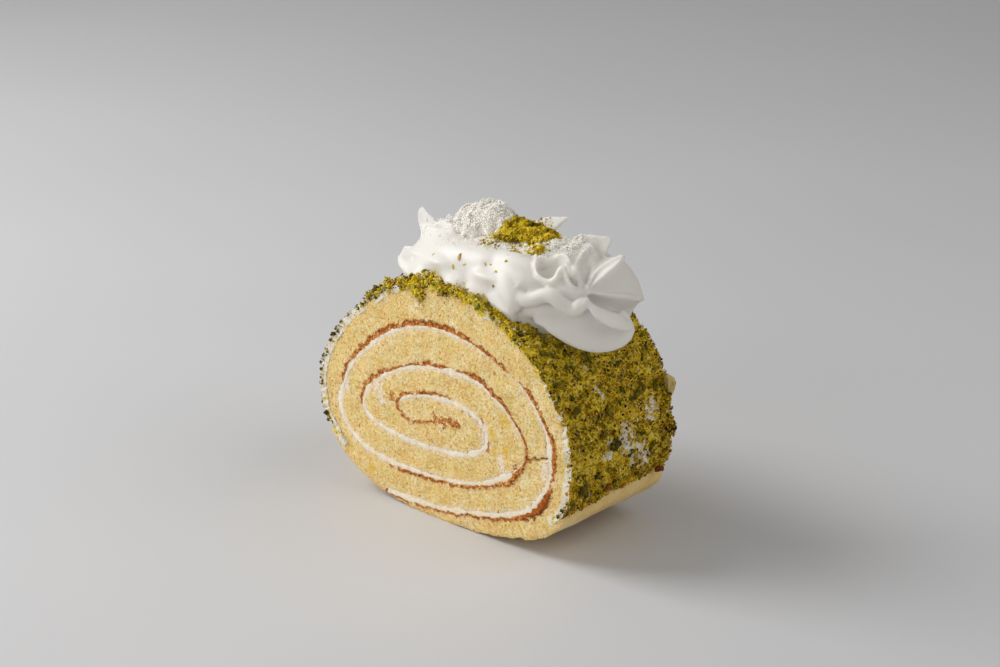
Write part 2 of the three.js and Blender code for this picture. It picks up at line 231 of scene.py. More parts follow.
def in_space(xz, y):
    """Points or directions (x, z) of a cut face with their y: one for all, or one for each."""
    return np.column_stack([xz[:, 0], np.broadcast_to(y, len(xz)), xz[:, 1]])


def coordinates(bm):
    return np.array([v.co for v in bm.verts])


def set_coordinates(bm, points):
    for vert, point in zip(bm.verts, points):
        vert.co = point


def mesh_of(name, bm):
    mesh = bpy.data.meshes.new(name)
    bm.to_mesh(mesh)
    bm.free()
    return mesh


def add_object(name, data):
    thing = bpy.data.objects.new(name, data)
    bpy.context.scene.collection.objects.link(thing)
    return thing


def set_attribute(mesh, name, values):
    mesh.attributes.new(name, "FLOAT", "POINT").data.foreach_set("value", values)


def make_piece(name, mesh):
    """A piece that rides on the slice."""
    piece = add_object(name, mesh)
    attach(piece, "root")
    return piece


def finish_piece(name, bm, materials, slot, sharp_over, **attributes):
    """Turns a bmesh in millimetres into a smoothly shaded piece, with edges over an angle kept sharp."""
    mesh = mesh_of(name, bm)
    mesh.transform(Matrix.Scale(MM, 4))
    for mat in materials:
        mesh.materials.append(mat)
    mesh.polygons.foreach_set("use_smooth", [True] * len(mesh.polygons))
    mesh.set_sharp_from_angle(angle=math.radians(sharp_over))
    for key, values in attributes.items():
        set_attribute(mesh, key, values)
    return make_piece(name, mesh)


# ---------------------------------------------------------------- helpers for materials


class Finish:
    """A material under construction: a Principled shader and short calls that add its nodes."""

    def __init__(self, name, roughness, specular):
        self.material = bpy.data.materials.new(name)
        self.material.use_nodes = True
        self.nodes = self.material.node_tree.nodes
        self.links = self.material.node_tree.links
        self.shader = self.nodes["Principled BSDF"]
        self.shader.inputs["Roughness"].default_value = roughness
        self.shader.inputs["Specular IOR Level"].default_value = specular
        place = self.nodes.new("ShaderNodeTexCoord").outputs["Object"]
        self.place = self.add("Mapping", {"Vector": place, "Scale": (1 / MM,) * 3}).outputs["Vector"]

    def add(self, kind, inputs, **settings):
        """A new node, whose inputs are set to values or linked to the outputs of other nodes."""
        node = self.nodes.new("ShaderNode" + kind)
        for key, value in settings.items():
            setattr(node, key, value)
        for key, value in inputs.items():
            if isinstance(value, bpy.types.NodeSocket):
                self.links.new(value, node.inputs[key])
            else:
                node.inputs[key].default_value = value
        return node

    def noise(self, size, detail=2, roughness=0.5, distortion=0):
        inputs = {"Scale": 1 / size, "Detail": detail, "Roughness": roughness, "Distortion": distortion}
        return self.add("TexNoise", {"Vector": self.place, **inputs}).outputs["Fac"]

    def cells(self, size):
        """Scattered cells: how far a point is from the middle of its own, and the cell's own shade."""
        cell = self.add("TexVoronoi", {"Vector": self.place, "Scale": 1 / size})
        shade = self.add("SeparateColor", {"Color": cell.outputs["Color"]})
        return cell.outputs["Distance"], shade.outputs["Red"]

    def coordinate(self, axis):
        """How far along the X, Y or Z axis a point lies, in millimetres."""
        return self.add("SeparateXYZ", {"Vector": self.place}).outputs[axis]

    def attribute(self, name):
        return self.add("Attribute", {}, attribute_name=name).outputs["Fac"]

    def calculate(self, operation, a, b):
        return self.add("Math", {0: a, 1: b}, operation=operation).outputs[0]

    def plus(self, a, b):
        return self.calculate("ADD", a, b)

    def minus(self, a, b):
        return self.calculate("SUBTRACT", a, b)

    def times(self, a, b):
        return self.calculate("MULTIPLY", a, b)

    def swing(self, value, middle, reach):
        """How far a value is from a middle one, times reach."""
        return self.times(self.minus(value, middle), reach)

    def between(self, value, low, high, most=1):
        """0 below low and most above high; the other way round where low is above high."""
        at_min, at_max = (0, most) if low < high else (most, 0)
        inputs = {
            "Value": value, "From Min": min(low, high), "From Max": max(low, high),
            "To Min": at_min, "To Max": at_max,
        }
        return self.add("MapRange", inputs, interpolation_type="SMOOTHSTEP").outputs["Result"]

    def ramp(self, value, *stops):
        node = self.add("ValToRGB", {"Fac": value})
        elements = node.color_ramp.elements
        while len(elements) < len(stops):
            elements.new(0.5)
        for element, (position, color) in zip(elements, stops):
            element.position = position
            element.color = linear(color)
        return node.outputs["Color"]

    def over(self, tone, share, color, mode="MIX"):
        """A tone with another over it, as strongly as share says."""
        if isinstance(color, tuple):
            color = linear(color)
        node = self.add("Mix", {0: share, 6: tone, 7: color}, data_type="RGBA", blend_type=mode)
        return node.outputs[2]

    def layered(self, tone, *layers, mode="MIX"):
        """A tone with layers over it: each shows where its value goes from low to high."""
        for value, low, high, most, color in layers:
            tone = self.over(tone, self.between(value, low, high, most), color, mode)
        return tone

    def color(self, value):
        self.links.new(value, self.shader.inputs["Base Color"])

    def bump(self, height, distance, strength, below=None):
        """Bumps of a height in millimetres, on top of those below."""
        inputs = {"Height": height, "Distance": distance * MM, "Strength": strength}
        if below is not None:
            inputs["Normal"] = below
        bumps = self.add("Bump", inputs).outputs["Normal"]
        self.links.new(bumps, self.shader.inputs["Normal"])
        return bumps

    def soft(self, weight, radius, scale):
        """Light passes into the surface; scale is how far, in millimetres."""
        self.shader.inputs["Subsurface Weight"].default_value = weight
        self.shader.inputs["Subsurface Radius"].default_value = radius
        self.shader.inputs["Subsurface Scale"].default_value = scale * MM


def linear(color):
    """A colour given as seen, with red, green and blue from 0 to 255, as a shader takes it."""
    parts = [c / 255 for c in color]
    return (*[p / 12.92 if p <= 0.04045 else ((p + 0.055) / 1.055) ** 2.4 for p in parts], 1)


# ---------------------------------------------------------------- lines that shape the slice

CREAM_READ_AT = 20.0  # the y at which its unevenness is read, before and behind the middle
CREAM_THINNEST = 0.1

outline = TurnLine(OUTLINE, OUTLINE_SQUARENESS, OUTLINE_DRAWN_IN)
cream_line = TurnLine(CREAM_LINE, SHEET_SQUARENESS, SQUEEZED_IN)


def coat_cover(place, height, y=None):
    """How much of the coat's thickness covers the outline: 0 where the sponge is bare."""
    right = COAT_EDGE_RIGHT if y is None else COAT_EDGE_RIGHT + COAT_EDGE_RISES * (y / SLICE_LENGTH + 0.5)
    edge = np.where(place < 2, right, COAT_EDGE_LEFT)
    return smoothstep(height, edge, edge + COAT_EDGE_TAPER)


def cut_face_swell(xz):
    x_share = xz[:, 0] / OUTLINE[1][0]
    z_share = (xz[:, 1] - HEART_HEIGHT) / HEART_HEIGHT
    return CUT_FACE_SWELL * np.maximum(0, 1 - x_share ** 2 - z_share ** 2)


def cut_face_relief(spots):
    return 0.25 * unevenness(spots, 9, 3) + 0.08 * unevenness(spots, 3.2, 4)


def cream_half_thickness(index, side):
    """Half the cream's thickness at points of its line; side is -1 at the front and 1 at the rear."""
    spots = in_space(cream_line.points[index], CREAM_READ_AT * side)
    thickness = table_value(CREAM_THICKNESS, cream_line.places[index])
    wobble = 1 + 0.35 * unevenness(spots, 4.5, 1) + 0.35 * unevenness(spots, 1.6, 2)
    wobble += 0.3 * unevenness(spots, 0.8, 13)
    return np.maximum(thickness * wobble, CREAM_THINNEST) / 2


# ---------------------------------------------------------------- sponge

CRUMB_CELL = 0.46  # spacing of the relief on a cut face
KEPT_PAST_EDGE = 0.4 * CRUMB_CELL
SNAP_REACH = 1.2 * CRUMB_CELL
AWAY_FROM_CREAM = 9.0  # stands for a point on the pale side of the sheet

# Marks in the front cut face: cracks and smears of cream, each as points (x, z) with half its width;
# places stained yellow and browned places, each with a radius.
CRACKS = [(((34.6, 31.8), (36, 31.9), (37, 32.9), (38.7, 32.8), (40.2, 34), (42.2, 34.2)), 0.33)]
SMEARS = [
    (((16.2, 37.4), (16.5, 34), (18, 31)), 2.0), (((22.6, 29), (23.6, 27), (24.2, 24.6)), 1.5),
    (((26.2, 24.7), (27, 24.1)), 1.2), (((41.4, 33), (41.4, 31), (40.6, 28.4)), 1.5),
    (((-29.6, 38.8), (-29.4, 36.2), (-28.2, 34)), 1.7), (((-44.6, 35.2), (-44.3, 34)), 1.2),
    (((-13.2, 76), (-12.6, 73), (-11.6, 70.6)), 1.5),
]
STAINS = [
    ((20, 36.2), 2.2), ((25, 41.6), 2.2), ((20.5, 30.3), 1.6), ((25, 32), 1.5), ((-33.6, 9.2), 1.8),
]
BROWNED_SPOTS = [
    ((4.6, 34.6), 2.2), ((2, 35.6), 1.6), ((-1.2, 34.4), 2.2), ((-4.6, 34.8), 1.5), ((15.4, 39), 1.3),
    ((24.6, 23.4), 1.2), ((29.8, 26.9), 1.6), ((31.4, 27.4), 1.2), ((-23.8, 37), 1.7), ((35, 32), 1.2),
]
CRACK_DEPTH = 0.6
NICK = ((30.4, -24, 4.6), 2.6, 1.2)  # in the lower edge: place, size and depth
NICK_STRETCH = 0.25  # a nick is four times as long along the roll
ON_SKIN = 0.3  # a point nearer to the skin than this lies on it
# Where along the roll the sponge has its rings, from the rear cut face to the front one.
SPONGE_STEPS = [HALF_LENGTH - step for step in (0, 0.5, 4, 12, 20, 28, 36, 44, 47.5, 48)]
SPONGE_SOFTNESS = (0.15, (1.0, 0.7, 0.35), 1.2)


def crumb_of_sponge():
    crumb = Finish("sponge_crumb", 0.85, 0.25)
    crumb.soft(*SPONGE_SOFTNESS)
    base = crumb.ramp(
        crumb.noise(4.5, 4, 0.7),
        (0.34, (243, 198, 106)), (0.46, (250, 216, 134)), (0.55, (254, 227, 153)), (0.66, (255, 240, 186)),
    )
    clumps, grain = crumb.noise(1.2, 3, 0.7), crumb.noise(0.55, 3, 0.7)
    base = crumb.layered(
        base,
        (crumb.noise(5.5, 3, 0.65), 0.48, 0.6, 0.55, (236, 218, 124)),  # greenish patches
        (crumb.noise(3.4, 3, 0.65, 0.6), 0.54, 0.66, 0.3, (255, 222, 176)),  # pinkish ones
        (clumps, 0.53, 0.66, 0.6, (255, 238, 196)),  # clumps, then grains: their own uneven tone, with painted light on their tops and painted shade in their hollows, on the heights of their bumps
        (clumps, 0.47, 0.34, 0.65, (212, 168, 86)),
        (grain, 0.54, 0.64, 0.7, (255, 243, 210)),
        (grain, 0.46, 0.35, 0.6, (188, 148, 72)),
        (crumb.noise(0.95, 2, 0.6), 0.4, 0.3, 0.5, (170, 134, 64)),  # pores, painted dark as shade in them
        (crumb.attribute("from_skin"), 4.5, 0.5, 0.25, (228, 190, 116)),  # darker towards the skin
        (crumb.attribute("from_filling"), 3.2, 0.2, 0.25, (252, 228, 176)),  # paler by the filling
    )
    base = add_browned_skin(crumb, add_smears(crumb, base))
    base = crumb.over(base, crumb.times(crumb.attribute("stained"), 0.75), (236, 192, 50))
    # Cracks are painted dark brown: painted shade down in them.
    crumb.color(crumb.over(base, crumb.attribute("cracked"), (150, 92, 34)))
    crumb.bump(clumps, 0.6, 0.8, crumb.bump(grain, 0.3, 0.8))
    return crumb.material


def add_smears(crumb, base):
    """Cream smeared over the crumb, beside the filling and where the smears are."""
    reach = crumb.times(crumb.swing(crumb.noise(1.1, 4, 0.75), 0.38, 6.5), crumb.attribute("creamy"))
    beside = crumb.minus(reach, crumb.attribute("from_filling"))
    fuzz = crumb.swing(crumb.noise(0.8, 3, 0.7), 0.5, 2.0)
    smear = crumb.plus(crumb.attribute("smeared"), fuzz)
    return crumb.layered(
        base, (beside, 0, 0.9, 0.9, (254, 236, 208)), (smear, 0.2, 0.45, 0.95, (254, 238, 214))
    )


def add_browned_skin(crumb, base):
    """The sheet's browned skin: ragged, broken, and darkest on the side away from the cream."""
    ragged = crumb.swing(crumb.noise(1.6, 5, 0.8), 0.5, 4.2)
    gaps = crumb.calculate("MINIMUM", crumb.swing(crumb.noise(3.0, 4, 0.7), 0.48, 9.0), 0)
    depth = crumb.minus(crumb.times(crumb.attribute("browned"), 1.6), crumb.attribute("from_cream"))
    depth = crumb.plus(depth, crumb.plus(ragged, gaps))
    fuzz = crumb.swing(crumb.noise(0.9, 4, 0.75), 0.5, 6.5)
    spot = crumb.plus(crumb.swing(crumb.attribute("spotted"), 0.5, 1.5), fuzz)
    depth = crumb.calculate("MAXIMUM", depth, spot)
    # A thick stretch is evener and darker.
    calm = crumb.between(crumb.attribute("browned"), 1.0, 1.7, 0.65)
    grainy = crumb.times(crumb.minus(crumb.noise(1.0, 5, 0.85), 0.5), crumb.minus(1, calm))
    shade = crumb.times(crumb.calculate("MINIMUM", depth, 1.4), 0.1)
    shade = crumb.minus(shade, crumb.times(calm, 0.12))
    shade = crumb.plus(grainy, crumb.plus(shade, 0.42))
    brown = crumb.ramp(
        shade, (0.36, (80, 32, 5)), (0.45, (152, 72, 14)), (0.53, (204, 120, 40)), (0.63, (244, 192, 120)),
    )
    return crumb.layered(base, (depth, -1.0, 0.2, 0.45, (228, 166, 88)), (depth, -0.25, 0.5, 1, brown))


def skin_of_sponge():
    skin = Finish("sponge_skin", 0.7, 0.3)
    skin.soft(*SPONGE_SOFTNESS)
    tone = skin.ramp(
        skin.noise(7, 3, 0.6), (0.3, (240, 196, 116)), (0.55, (248, 216, 148)), (0.75, (252, 232, 180))
    )
    from_speck, _ = skin.cells(1.5)
    skin.color(skin.layered(tone, (from_speck, 0.16, 0.06, 0.6, (176, 132, 66))))
    skin.bump(skin.noise(0.8, 4, 0.65), 0.3, 0.6)
    return skin.material


def sheet_grid():
    """A flat grid in the rear cut face, without the places of the coat and the cream."""
    low, high = np.min(outline.points, axis=0) - 1, np.max(outline.points, axis=0) + 1
    middle, half = (low + high) / 2, (high - low) / 2
    across, up = (int(2 * h / CRUMB_CELL) for h in half)
    placed = (
        Matrix.Translation((middle[0], SPONGE_STEPS[0], middle[1]))
        @ Matrix.Rotation(math.pi / 2, 4, "X")
        @ Matrix.Diagonal((*half, 1, 1))
    )
    bm = bmesh.new()
    bmesh.ops.create_grid(bm, x_segments=across, y_segments=up, size=1, matrix=placed)
    from_skin, _, from_cream, cream_index = sponge_distances(coordinates(bm)[:, [0, 2]])
    half_cream = cream_half_thickness(cream_index, -1)
    inside = (from_skin > -KEPT_PAST_EDGE) & (np.abs(from_cream) > half_cream - KEPT_PAST_EDGE)
    bmesh.ops.delete(bm, geom=[v for v, keep in zip(bm.verts, inside) if not keep], context="VERTS")
    bmesh.ops.delete(bm, geom=[v for v in bm.verts if not v.link_faces], context="VERTS")
    snap_to_edges(bm)
    return bm


def extrude_through_slice(bm):
    """Draws the grid out from the rear cut face to the front one, with no faces left inside."""
    region = list(bm.faces)
    for i, y in enumerate(SPONGE_STEPS[1:]):
        grown = bmesh.ops.extrude_face_region(bm, geom=region, use_keep_orig=True)["geom"]
        if i > 0:
            bmesh.ops.delete(bm, geom=region, context="FACES")
        for vert in grown:
            if isinstance(vert, bmesh.types.BMVert):
                vert.co.y = y
        region = [face for face in grown if isinstance(face, bmesh.types.BMFace)]
    bmesh.ops.recalc_face_normals(bm, faces=bm.faces)
    bm.normal_update()


def make_sponge():
    bm = sheet_grid()
    extrude_through_slice(bm)
    points = coordinates(bm)
    spots = points.copy()
    xz = points[:, [0, 2]]
    from_skin, skin_index, from_cream, cream_index = sponge_distances(xz)
    half_cream = cream_half_thickness(cream_index, -1)
    from_filling = np.abs(from_cream) - half_cream
    outside_cream = np.where(from_cream < 0, -from_cream - half_cream, AWAY_FROM_CREAM)
    browned = table_value(BROWNED_THICKNESS, cream_line.places[cream_index])
    side = np.sign(points[:, 1])
    on_face = np.abs(points[:, 1]) > SPONGE_STEPS[0] - 0.01
    cracked, smeared, stained, spotted = marks(points, on_face & (side < 0))

    # Both cut faces: crumb, small pits, and a proud browned line; lower at the skin and the cream.
    relief = cut_face_relief(spots)
    relief += 0.05 * unevenness(spots, 1.1, 5) - 0.2 * smoothstep(pits(spots, 1.7), 0.26, 0.1)
    brown_edge = smoothstep(browned - outside_cream, -0.4, 0.2)
    relief += brown_edge * (0.05 + 0.2 * unevenness(spots, 1.0, 6))
    relief -= 0.35 * smoothstep(from_skin, 0.8, 0)
    relief -= CRACK_DEPTH * cracked
    relief -= 0.06 * smoothstep(from_filling, 0.5, 0) * (1 + unevenness(spots, 1.3, 9))
    points[:, 1] += np.where(on_face, side * (relief + cut_face_swell(xz)), 0)

    # The skin: gently uneven, with a nick, and level where the slice stands.
    nick, size, depth = NICK
    from_nick = np.linalg.norm((points - np.array(nick)) * (1, NICK_STRETCH, 1), axis=1)
    bumpy = 0.25 * unevenness(spots, 6, 7) + 0.15 * unevenness(spots, 2.2, 8)
    bumpy -= depth * smoothstep(from_nick, size, size * 0.2)
    inward = outline.inward[skin_index]
    points += in_space(inward, 0) * np.where(from_skin < ON_SKIN, -bumpy, 0)[:, None]
    points[:, 2] = np.maximum(points[:, 2], 0)
    set_coordinates(bm, points)
    for face in bm.faces:
        face.material_index = 0 if abs(face.normal.y) > 0.5 else 1
    piece = finish_piece(
        "sponge", bm, (crumb_of_sponge(), skin_of_sponge()), "sponge", 50,
        from_skin=from_skin, from_cream=outside_cream, from_filling=from_filling, browned=browned,
        cracked=cracked, smeared=smeared, stained=stained, spotted=spotted,
        creamy=smoothstep(table_value(CREAM_THICKNESS, cream_line.places[cream_index]), 0.3, 1),
    )
    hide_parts("sponge")


def marks(points, where):
    """How far each point of the front cut face lies in a crack, a smear, a stain and a browned spot."""
    cracked, smeared, stained, spotted = (np.zeros(len(points)) for _ in range(4))
    index = np.flatnonzero(where)
    xz = points[index][:, [0, 2]]
    jag = 0.5 * unevenness(points[index], 1.3, 14) + 0.5 * unevenness(points[index], 0.6, 15)
    for values, lines in ((cracked, CRACKS), (smeared, SMEARS)):
        for path, half_width in lines:
            line = rows_at(np.linspace(0, len(path) - 1, 60), range(len(path)), np.array(path))
            near = np.min(np.linalg.norm(xz[:, None] - line[None], axis=2), axis=1)
            inside = smoothstep(near + 1.3 * jag * half_width, half_width * 1.2, half_width * 0.4)
            values[index] = np.maximum(values[index], inside)
    for values, spots in ((stained, STAINS), (spotted, BROWNED_SPOTS)):
        for middle, radius in spots:
            near = np.linalg.norm(xz - np.array(middle), axis=1) + 1.6 * jag
            values[index] = np.maximum(values[index], smoothstep(near, radius * 1.2, radius * 0.3))
    return cracked, smeared, stained, spotted


def sponge_distances(xz):
    """Distances inward from the sponge's skin, under the coat, and from the line of cream."""
    from_outline, skin_index = outline.nearest(xz)
    cover = coat_cover(outline.places[skin_index], outline.points[skin_index, 1])
    from_cream, cream_index = cream_line.nearest(xz)
    return from_outline - COAT_THICKNESS * cover, skin_index, from_cream, cream_index


def snap_to_edges(bm):
    """Moves the grid's border onto the sponge's skin or onto the cream, whichever is nearer."""
    border = [v for v in bm.verts if v.is_boundary]
    xz = np.array([(v.co.x, v.co.z) for v in border])
    from_skin, skin_index, from_cream, cream_index = sponge_distances(xz)
    from_edge = np.abs(from_cream) - cream_half_thickness(cream_index, -1)
    for i, vert in enumerate(border):
        if abs(from_skin[i]) < abs(from_edge[i]):
            move = -from_skin[i] * outline.inward[skin_index[i]]
        else:
            move = -from_edge[i] * np.sign(from_cream[i]) * cream_line.inward[cream_index[i]]
        if np.hypot(*move) < SNAP_REACH:
            vert.co.x += move[0]
            vert.co.z += move[1]


# ---------------------------------------------------------------- cream filling

FILLING_STEP = 0.5
FILLING_RING = 26  # points round the strip of cream
FILLING_PROUD = 0.08
FILLING_SINKS = 0.03  # below the crumb round it
MERGED_WITHIN = 0.002


def filling_material():
    cream = Finish("filling_cream", 0.6, 0.3)
    cream.soft(0.3, (1.0, 0.85, 0.6), 1.5)
    tone = cream.ramp(
        cream.noise(1.8, 4, 0.7), (0.3, (250, 222, 178)), (0.45, (254, 237, 212)), (0.65, (255, 248, 236))
    )
    tone = cream.layered(tone, (cream.noise(0.7, 3, 0.7), 0.54, 0.64, 0.6, (242, 210, 146)))
    cream.color(cream.over(tone, cream.attribute("thin"), (196, 124, 62)))
    cream.bump(cream.noise(0.6, 4, 0.75), 0.25, 0.6)
    return cream.material


def make_filling():
    """One strip of cream: a grid rolled up round the line of cream, as long as the slice."""
    count = int(len(cream_line.points) * cream_line.spacing / FILLING_STEP)
    bm = bmesh.new()
    bmesh.ops.create_grid(bm, x_segments=count, y_segments=FILLING_RING, size=1)
    share = (coordinates(bm)[:, :2] + 1) / 2
    index = np.round(share[:, 0] * (len(cream_line.points) - 1)).astype(int)
    turn = share[:, 1] * 2 * math.pi
    # Round the strip: the front and the rear edge are round, the sides run straight through.
    side = np.where(np.cos(turn) > 0, -1, 1)
    creamy = smoothstep(table_value(CREAM_THICKNESS, cream_line.places[index]), 0.25, 0.6)
    half = np.where(side < 0, cream_half_thickness(index, -1), cream_half_thickness(index, 1))
    half += lerp(0.04, 0.12, creamy)
    across = np.sin(turn)
    across = np.sign(across) * np.abs(across) ** 0.7 * half
    line = cream_line.points[index]
    spots = in_space(line, side * HALF_LENGTH)
    proud = FILLING_PROUD * unevenness(spots, 3.5, 11) + 0.12 * unevenness(spots, 1.4, 12)
    reach = HALF_LENGTH + cut_face_swell(line) + cut_face_relief(spots) + proud - FILLING_SINKS
    edge = 1 - 0.15 * np.abs(np.sin(turn)) ** 6 / HALF_LENGTH
    y = side * reach * edge * np.minimum(1, np.abs(np.cos(turn)) ** 0.006)
    set_coordinates(bm, in_space(line + cream_line.inward[index] * across[:, None], y))
    bmesh.ops.remove_doubles(bm, verts=bm.verts, dist=MERGED_WITHIN)
    bmesh.ops.holes_fill(bm, edges=[e for e in bm.edges if e.is_boundary], sides=0)
    bmesh.ops.recalc_face_normals(bm, faces=bm.faces)
    _, index = cream_line.nearest(coordinates(bm)[:, [0, 2]])
    thin = smoothstep(table_value(CREAM_THICKNESS, cream_line.places[index]), 0.5, 0.25)
    piece = finish_piece("cream_filling", bm, [filling_material()], "filling_cream", 60, thin=thin)
    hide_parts("cream_filling")


# ---------------------------------------------------------------- coat

COAT_CELL = 0.6
COAT_SOLID = 2.6  # how deep the coat's cream goes
COAT_EXTENT = (0.62, 3.42)  # places on the outline between which the coat lies
QUARTER_LENGTH = 80  # how long a quarter of the outline is, roughly
COAT_PAST_ENDS = 0.3  # the coat is that much longer than the slice
CUT_EDGE = 0.4  # how far from a cut face the coat's edge begins


def coat_points(place, y):
    """Points of the coat's cream at places of the outline and lengths along the roll, and their way out."""
    index = np.searchsorted(outline.places, place).clip(0, len(outline.points) - 1)
    line, inward = outline.points[index], outline.inward[index]
    cover = coat_cover(outline.places[index], line[:, 1], y)
    spots = in_space(line, y)
    low_left = (outline.places[index] > 2) * smoothstep(line[:, 1], 68, 62)
    edge = smoothstep(np.abs(y), HALF_LENGTH - 3, HALF_LENGTH - CUT_EDGE)
    rise = cover * (0.7 * unevenness(spots, 5, 21) + 1.0 * unevenness(spots, 2.4, 22))
    rise *= (1 - 0.75 * low_left) * (1 - 0.7 * edge)
    rise += 0.4 * clump_height(spots) * cover
    rise -= 0.9 + 1.1 * (1 - cover)
    rise += 0.5 * (1 - cover) * unevenness(spots, 3, 23)
    return in_space(line - inward * rise[:, None], y), -inward


# Where the crumbs lie in a clump: place, radius and height.
CLUMPS = [
    ((-34, -22, 67), 5, 1.4), ((-27, -22, 72.5), 5.5, 2.2), ((-20, -22, 76), 5, 2.0),
    ((-12, -22.5, 78.6), 5, 2.2), ((-6, -22.5, 79.6), 5, 2.4), ((3, -22, 79), 6, 1.6),
    ((12, -22, 76.6), 6, 1.6), ((20, -21, 73), 6, 1.2), ((51, 20, 45), 6, 2.2), ((52, 21, 33), 5, 2.4),
]


def clump_height(spots):
    height = np.zeros(len(spots))
    for place, radius, rise in CLUMPS:
        away = np.linalg.norm(spots - np.array(place), axis=1)
        height += rise * smoothstep(away, radius, radius * 0.2)
    return height


def coat_material():
    cream = Finish("coat_cream", 0.6, 0.35)
    cream.soft(0.2, (1.0, 0.85, 0.5), 1.2)
    white = cream.ramp(
        cream.noise(3, 3, 0.6), (0.3, (236, 222, 184)), (0.5, (247, 240, 222)), (0.7, (252, 248, 238))
    )
    _, grain = cream.cells(0.6)
    patch = cream.times(cream.noise(4.5, 4, 0.7), 0.75)
    meal = cream.ramp(
        cream.plus(patch, cream.times(grain, 0.28)),
        (0.3, (74, 62, 8)), (0.39, (136, 112, 6)), (0.46, (196, 162, 8)), (0.54, (234, 202, 26)),
        (0.7, (244, 220, 92)),
    )
    bare = cream.times(cream.attribute("bare"), 0.22)
    stain = cream.between(cream.minus(cream.noise(2.6, 5, 0.75), bare), 0.33, 0.4)
    cream.color(cream.over(white, stain, meal))
    cream.bump(cream.noise(0.45, 3, 0.7), 0.3, 0.7, cream.bump(cream.noise(1.3, 4, 0.7), 0.7, 0.9))
    return cream.material


def make_coat():
    start, end = COAT_EXTENT
    along = int(QUARTER_LENGTH * (end - start) / COAT_CELL)
    bm = bmesh.new()
    bmesh.ops.create_grid(bm, x_segments=along, y_segments=int(SLICE_LENGTH / COAT_CELL), size=1)
    share = (coordinates(bm)[:, :2] + 1) / 2
    y = (share[:, 1] - 0.5) * (SLICE_LENGTH + COAT_PAST_ENDS)
    points, _ = coat_points(lerp(start, end, share[:, 0]), y)
    at_end = np.abs(y) > HALF_LENGTH - 0.1
    points[:, 1] += 0.35 * np.sign(y) * at_end * unevenness(points, 1.5, 24)
    set_coordinates(bm, points)
    bmesh.ops.reverse_faces(bm, faces=bm.faces)
    bmesh.ops.solidify(bm, geom=list(bm.faces), thickness=COAT_SOLID)
    bmesh.ops.recalc_face_normals(bm, faces=bm.faces)
    # The cream is clean where the nuts are missing, and at much of the cut edge.
    spots = coordinates(bm)
    lower = np.where(spots[:, 0] > 0, smoothstep(spots[:, 2], 56, 46), smoothstep(spots[:, 2], 76, 68))
    clean_edge = np.maximum(lower, smoothstep(unevenness(spots, 4, 36), 0.1, 0.35))
    bare = 1 - patch_cover(spots)
    at_edge = np.abs(spots[:, 1]) > HALF_LENGTH - CUT_EDGE
    bare = np.where(at_edge, np.maximum(bare, clean_edge), bare)
    piece = finish_piece("pistachio_coat", bm, [coat_material()], "coat_cream", 60, bare=bare)
    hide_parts("pistachio_coat")


# ---------------------------------------------------------------- small things, strewn

FULL_TURN = 6.28


def chip_shapes(count, seed, points=11, flat=(0.45, 0.9), narrow=(0.6, 0.95)):
    """Broken nut: hulls round a few scattered points, about 1 mm in radius."""
    draw = np.random.default_rng(seed)
    shapes = []
    for _ in range(count):
        bm = bmesh.new()
        spread = unit(draw.normal(size=(points, 3))) * draw.uniform(0.75, 1.1, (points, 1))
        spread *= np.array([1, draw.uniform(*narrow), draw.uniform(*flat)])
        for point in spread:
            bm.verts.new(point)
        bmesh.ops.convex_hull(bm, input=bm.verts)
        bmesh.ops.delete(bm, geom=[v for v in bm.verts if not v.link_faces], context="VERTS")
        bmesh.ops.triangulate(bm, faces=bm.faces)
        bm.verts.index_update()
        faces = [[v.index for v in face.verts] for face in bm.faces]
        shapes.append((coordinates(bm), np.array(faces)))
        bm.free()
    return shapes


def strew(name, shapes, places, normals, sizes, mat, slot, seed, tilt=0.5):
    """One mesh of many small pieces: one of the shapes at each place, turned at random."""
    draw = np.random.default_rng(seed)
    verts, faces, shades, used = [], [], [], 0
    for place, normal, size in zip(places, normals, sizes):
        points, triangles = shapes[draw.integers(len(shapes))]
        lean = Vector(normal) + Vector(draw.normal(size=3)) * tilt
        turn = Matrix.Rotation(draw.uniform(0, FULL_TURN), 3, "Z")
        turn = lean.to_track_quat("Z", "Y").to_matrix() @ turn
        verts.append(points @ np.array(turn).T * size + place)
        faces.append(triangles + used)
        shades.append(np.full(len(points), draw.uniform()))
        used += len(points)
    mesh = bpy.data.meshes.new(name)
    mesh.from_pydata((np.concatenate(verts) * MM).tolist(), [], np.concatenate(faces).tolist())
    mesh.materials.append(mat)
    set_attribute(mesh, "shade", np.concatenate(shades))
    make_piece(name, mesh)


def even_stops(shades):
    return [(i / (len(shades) - 1), shade) for i, shade in enumerate(shades)]


def crumb_material(name, shades, painted_light_on_top=0.42, dusted=0.15):
    """Broken nut in the shades given, lightest last, dusted with its own meal."""
    nut = Finish(name, 0.7, 0.15)
    nut.soft(0.15, (1.0, 0.95, 0.8), 0.5)
    patch = nut.swing(nut.noise(3.6, 4, 0.75), 0.4, 3.8)
    value = nut.plus(patch, nut.times(nut.attribute("shade"), 0.3))
    height = nut.coordinate("Z")
    # Towards the top the nut is painted lighter and yellower: painted light on the coat's top, where the
    # window lights it.
    value = nut.plus(value, nut.between(height, 66, 76, painted_light_on_top))
    tone = nut.ramp(value, *even_stops(shades))
    # Greener and browner in patches. Lower down the nut is painted warmer and darker, a painted shade, and
    # darker still on the left, more painted shade.
    tone = nut.layered(
        tone,
        (nut.noise(5, 3, 0.7, 0.4), 0.5, 0.6, 0.35, (178, 186, 62)),
        (nut.noise(6.5, 4, 0.7, 0.5), 0.5, 0.6, 0.5, (176, 138, 72)),
        (height, 68, 52, 0.8, (246, 224, 150)),
        (nut.coordinate("X"), -26, -44, 0.8, (190, 186, 130)),
        mode="MULTIPLY",
    )
    nut.color(nut.layered(tone, (nut.noise(0.7, 3, 0.7), 0.5, 0.7, dusted, (206, 178, 44))))
    nut.bump(nut.noise(0.4, 3, 0.7), 0.2, 0.6)
    return nut.material


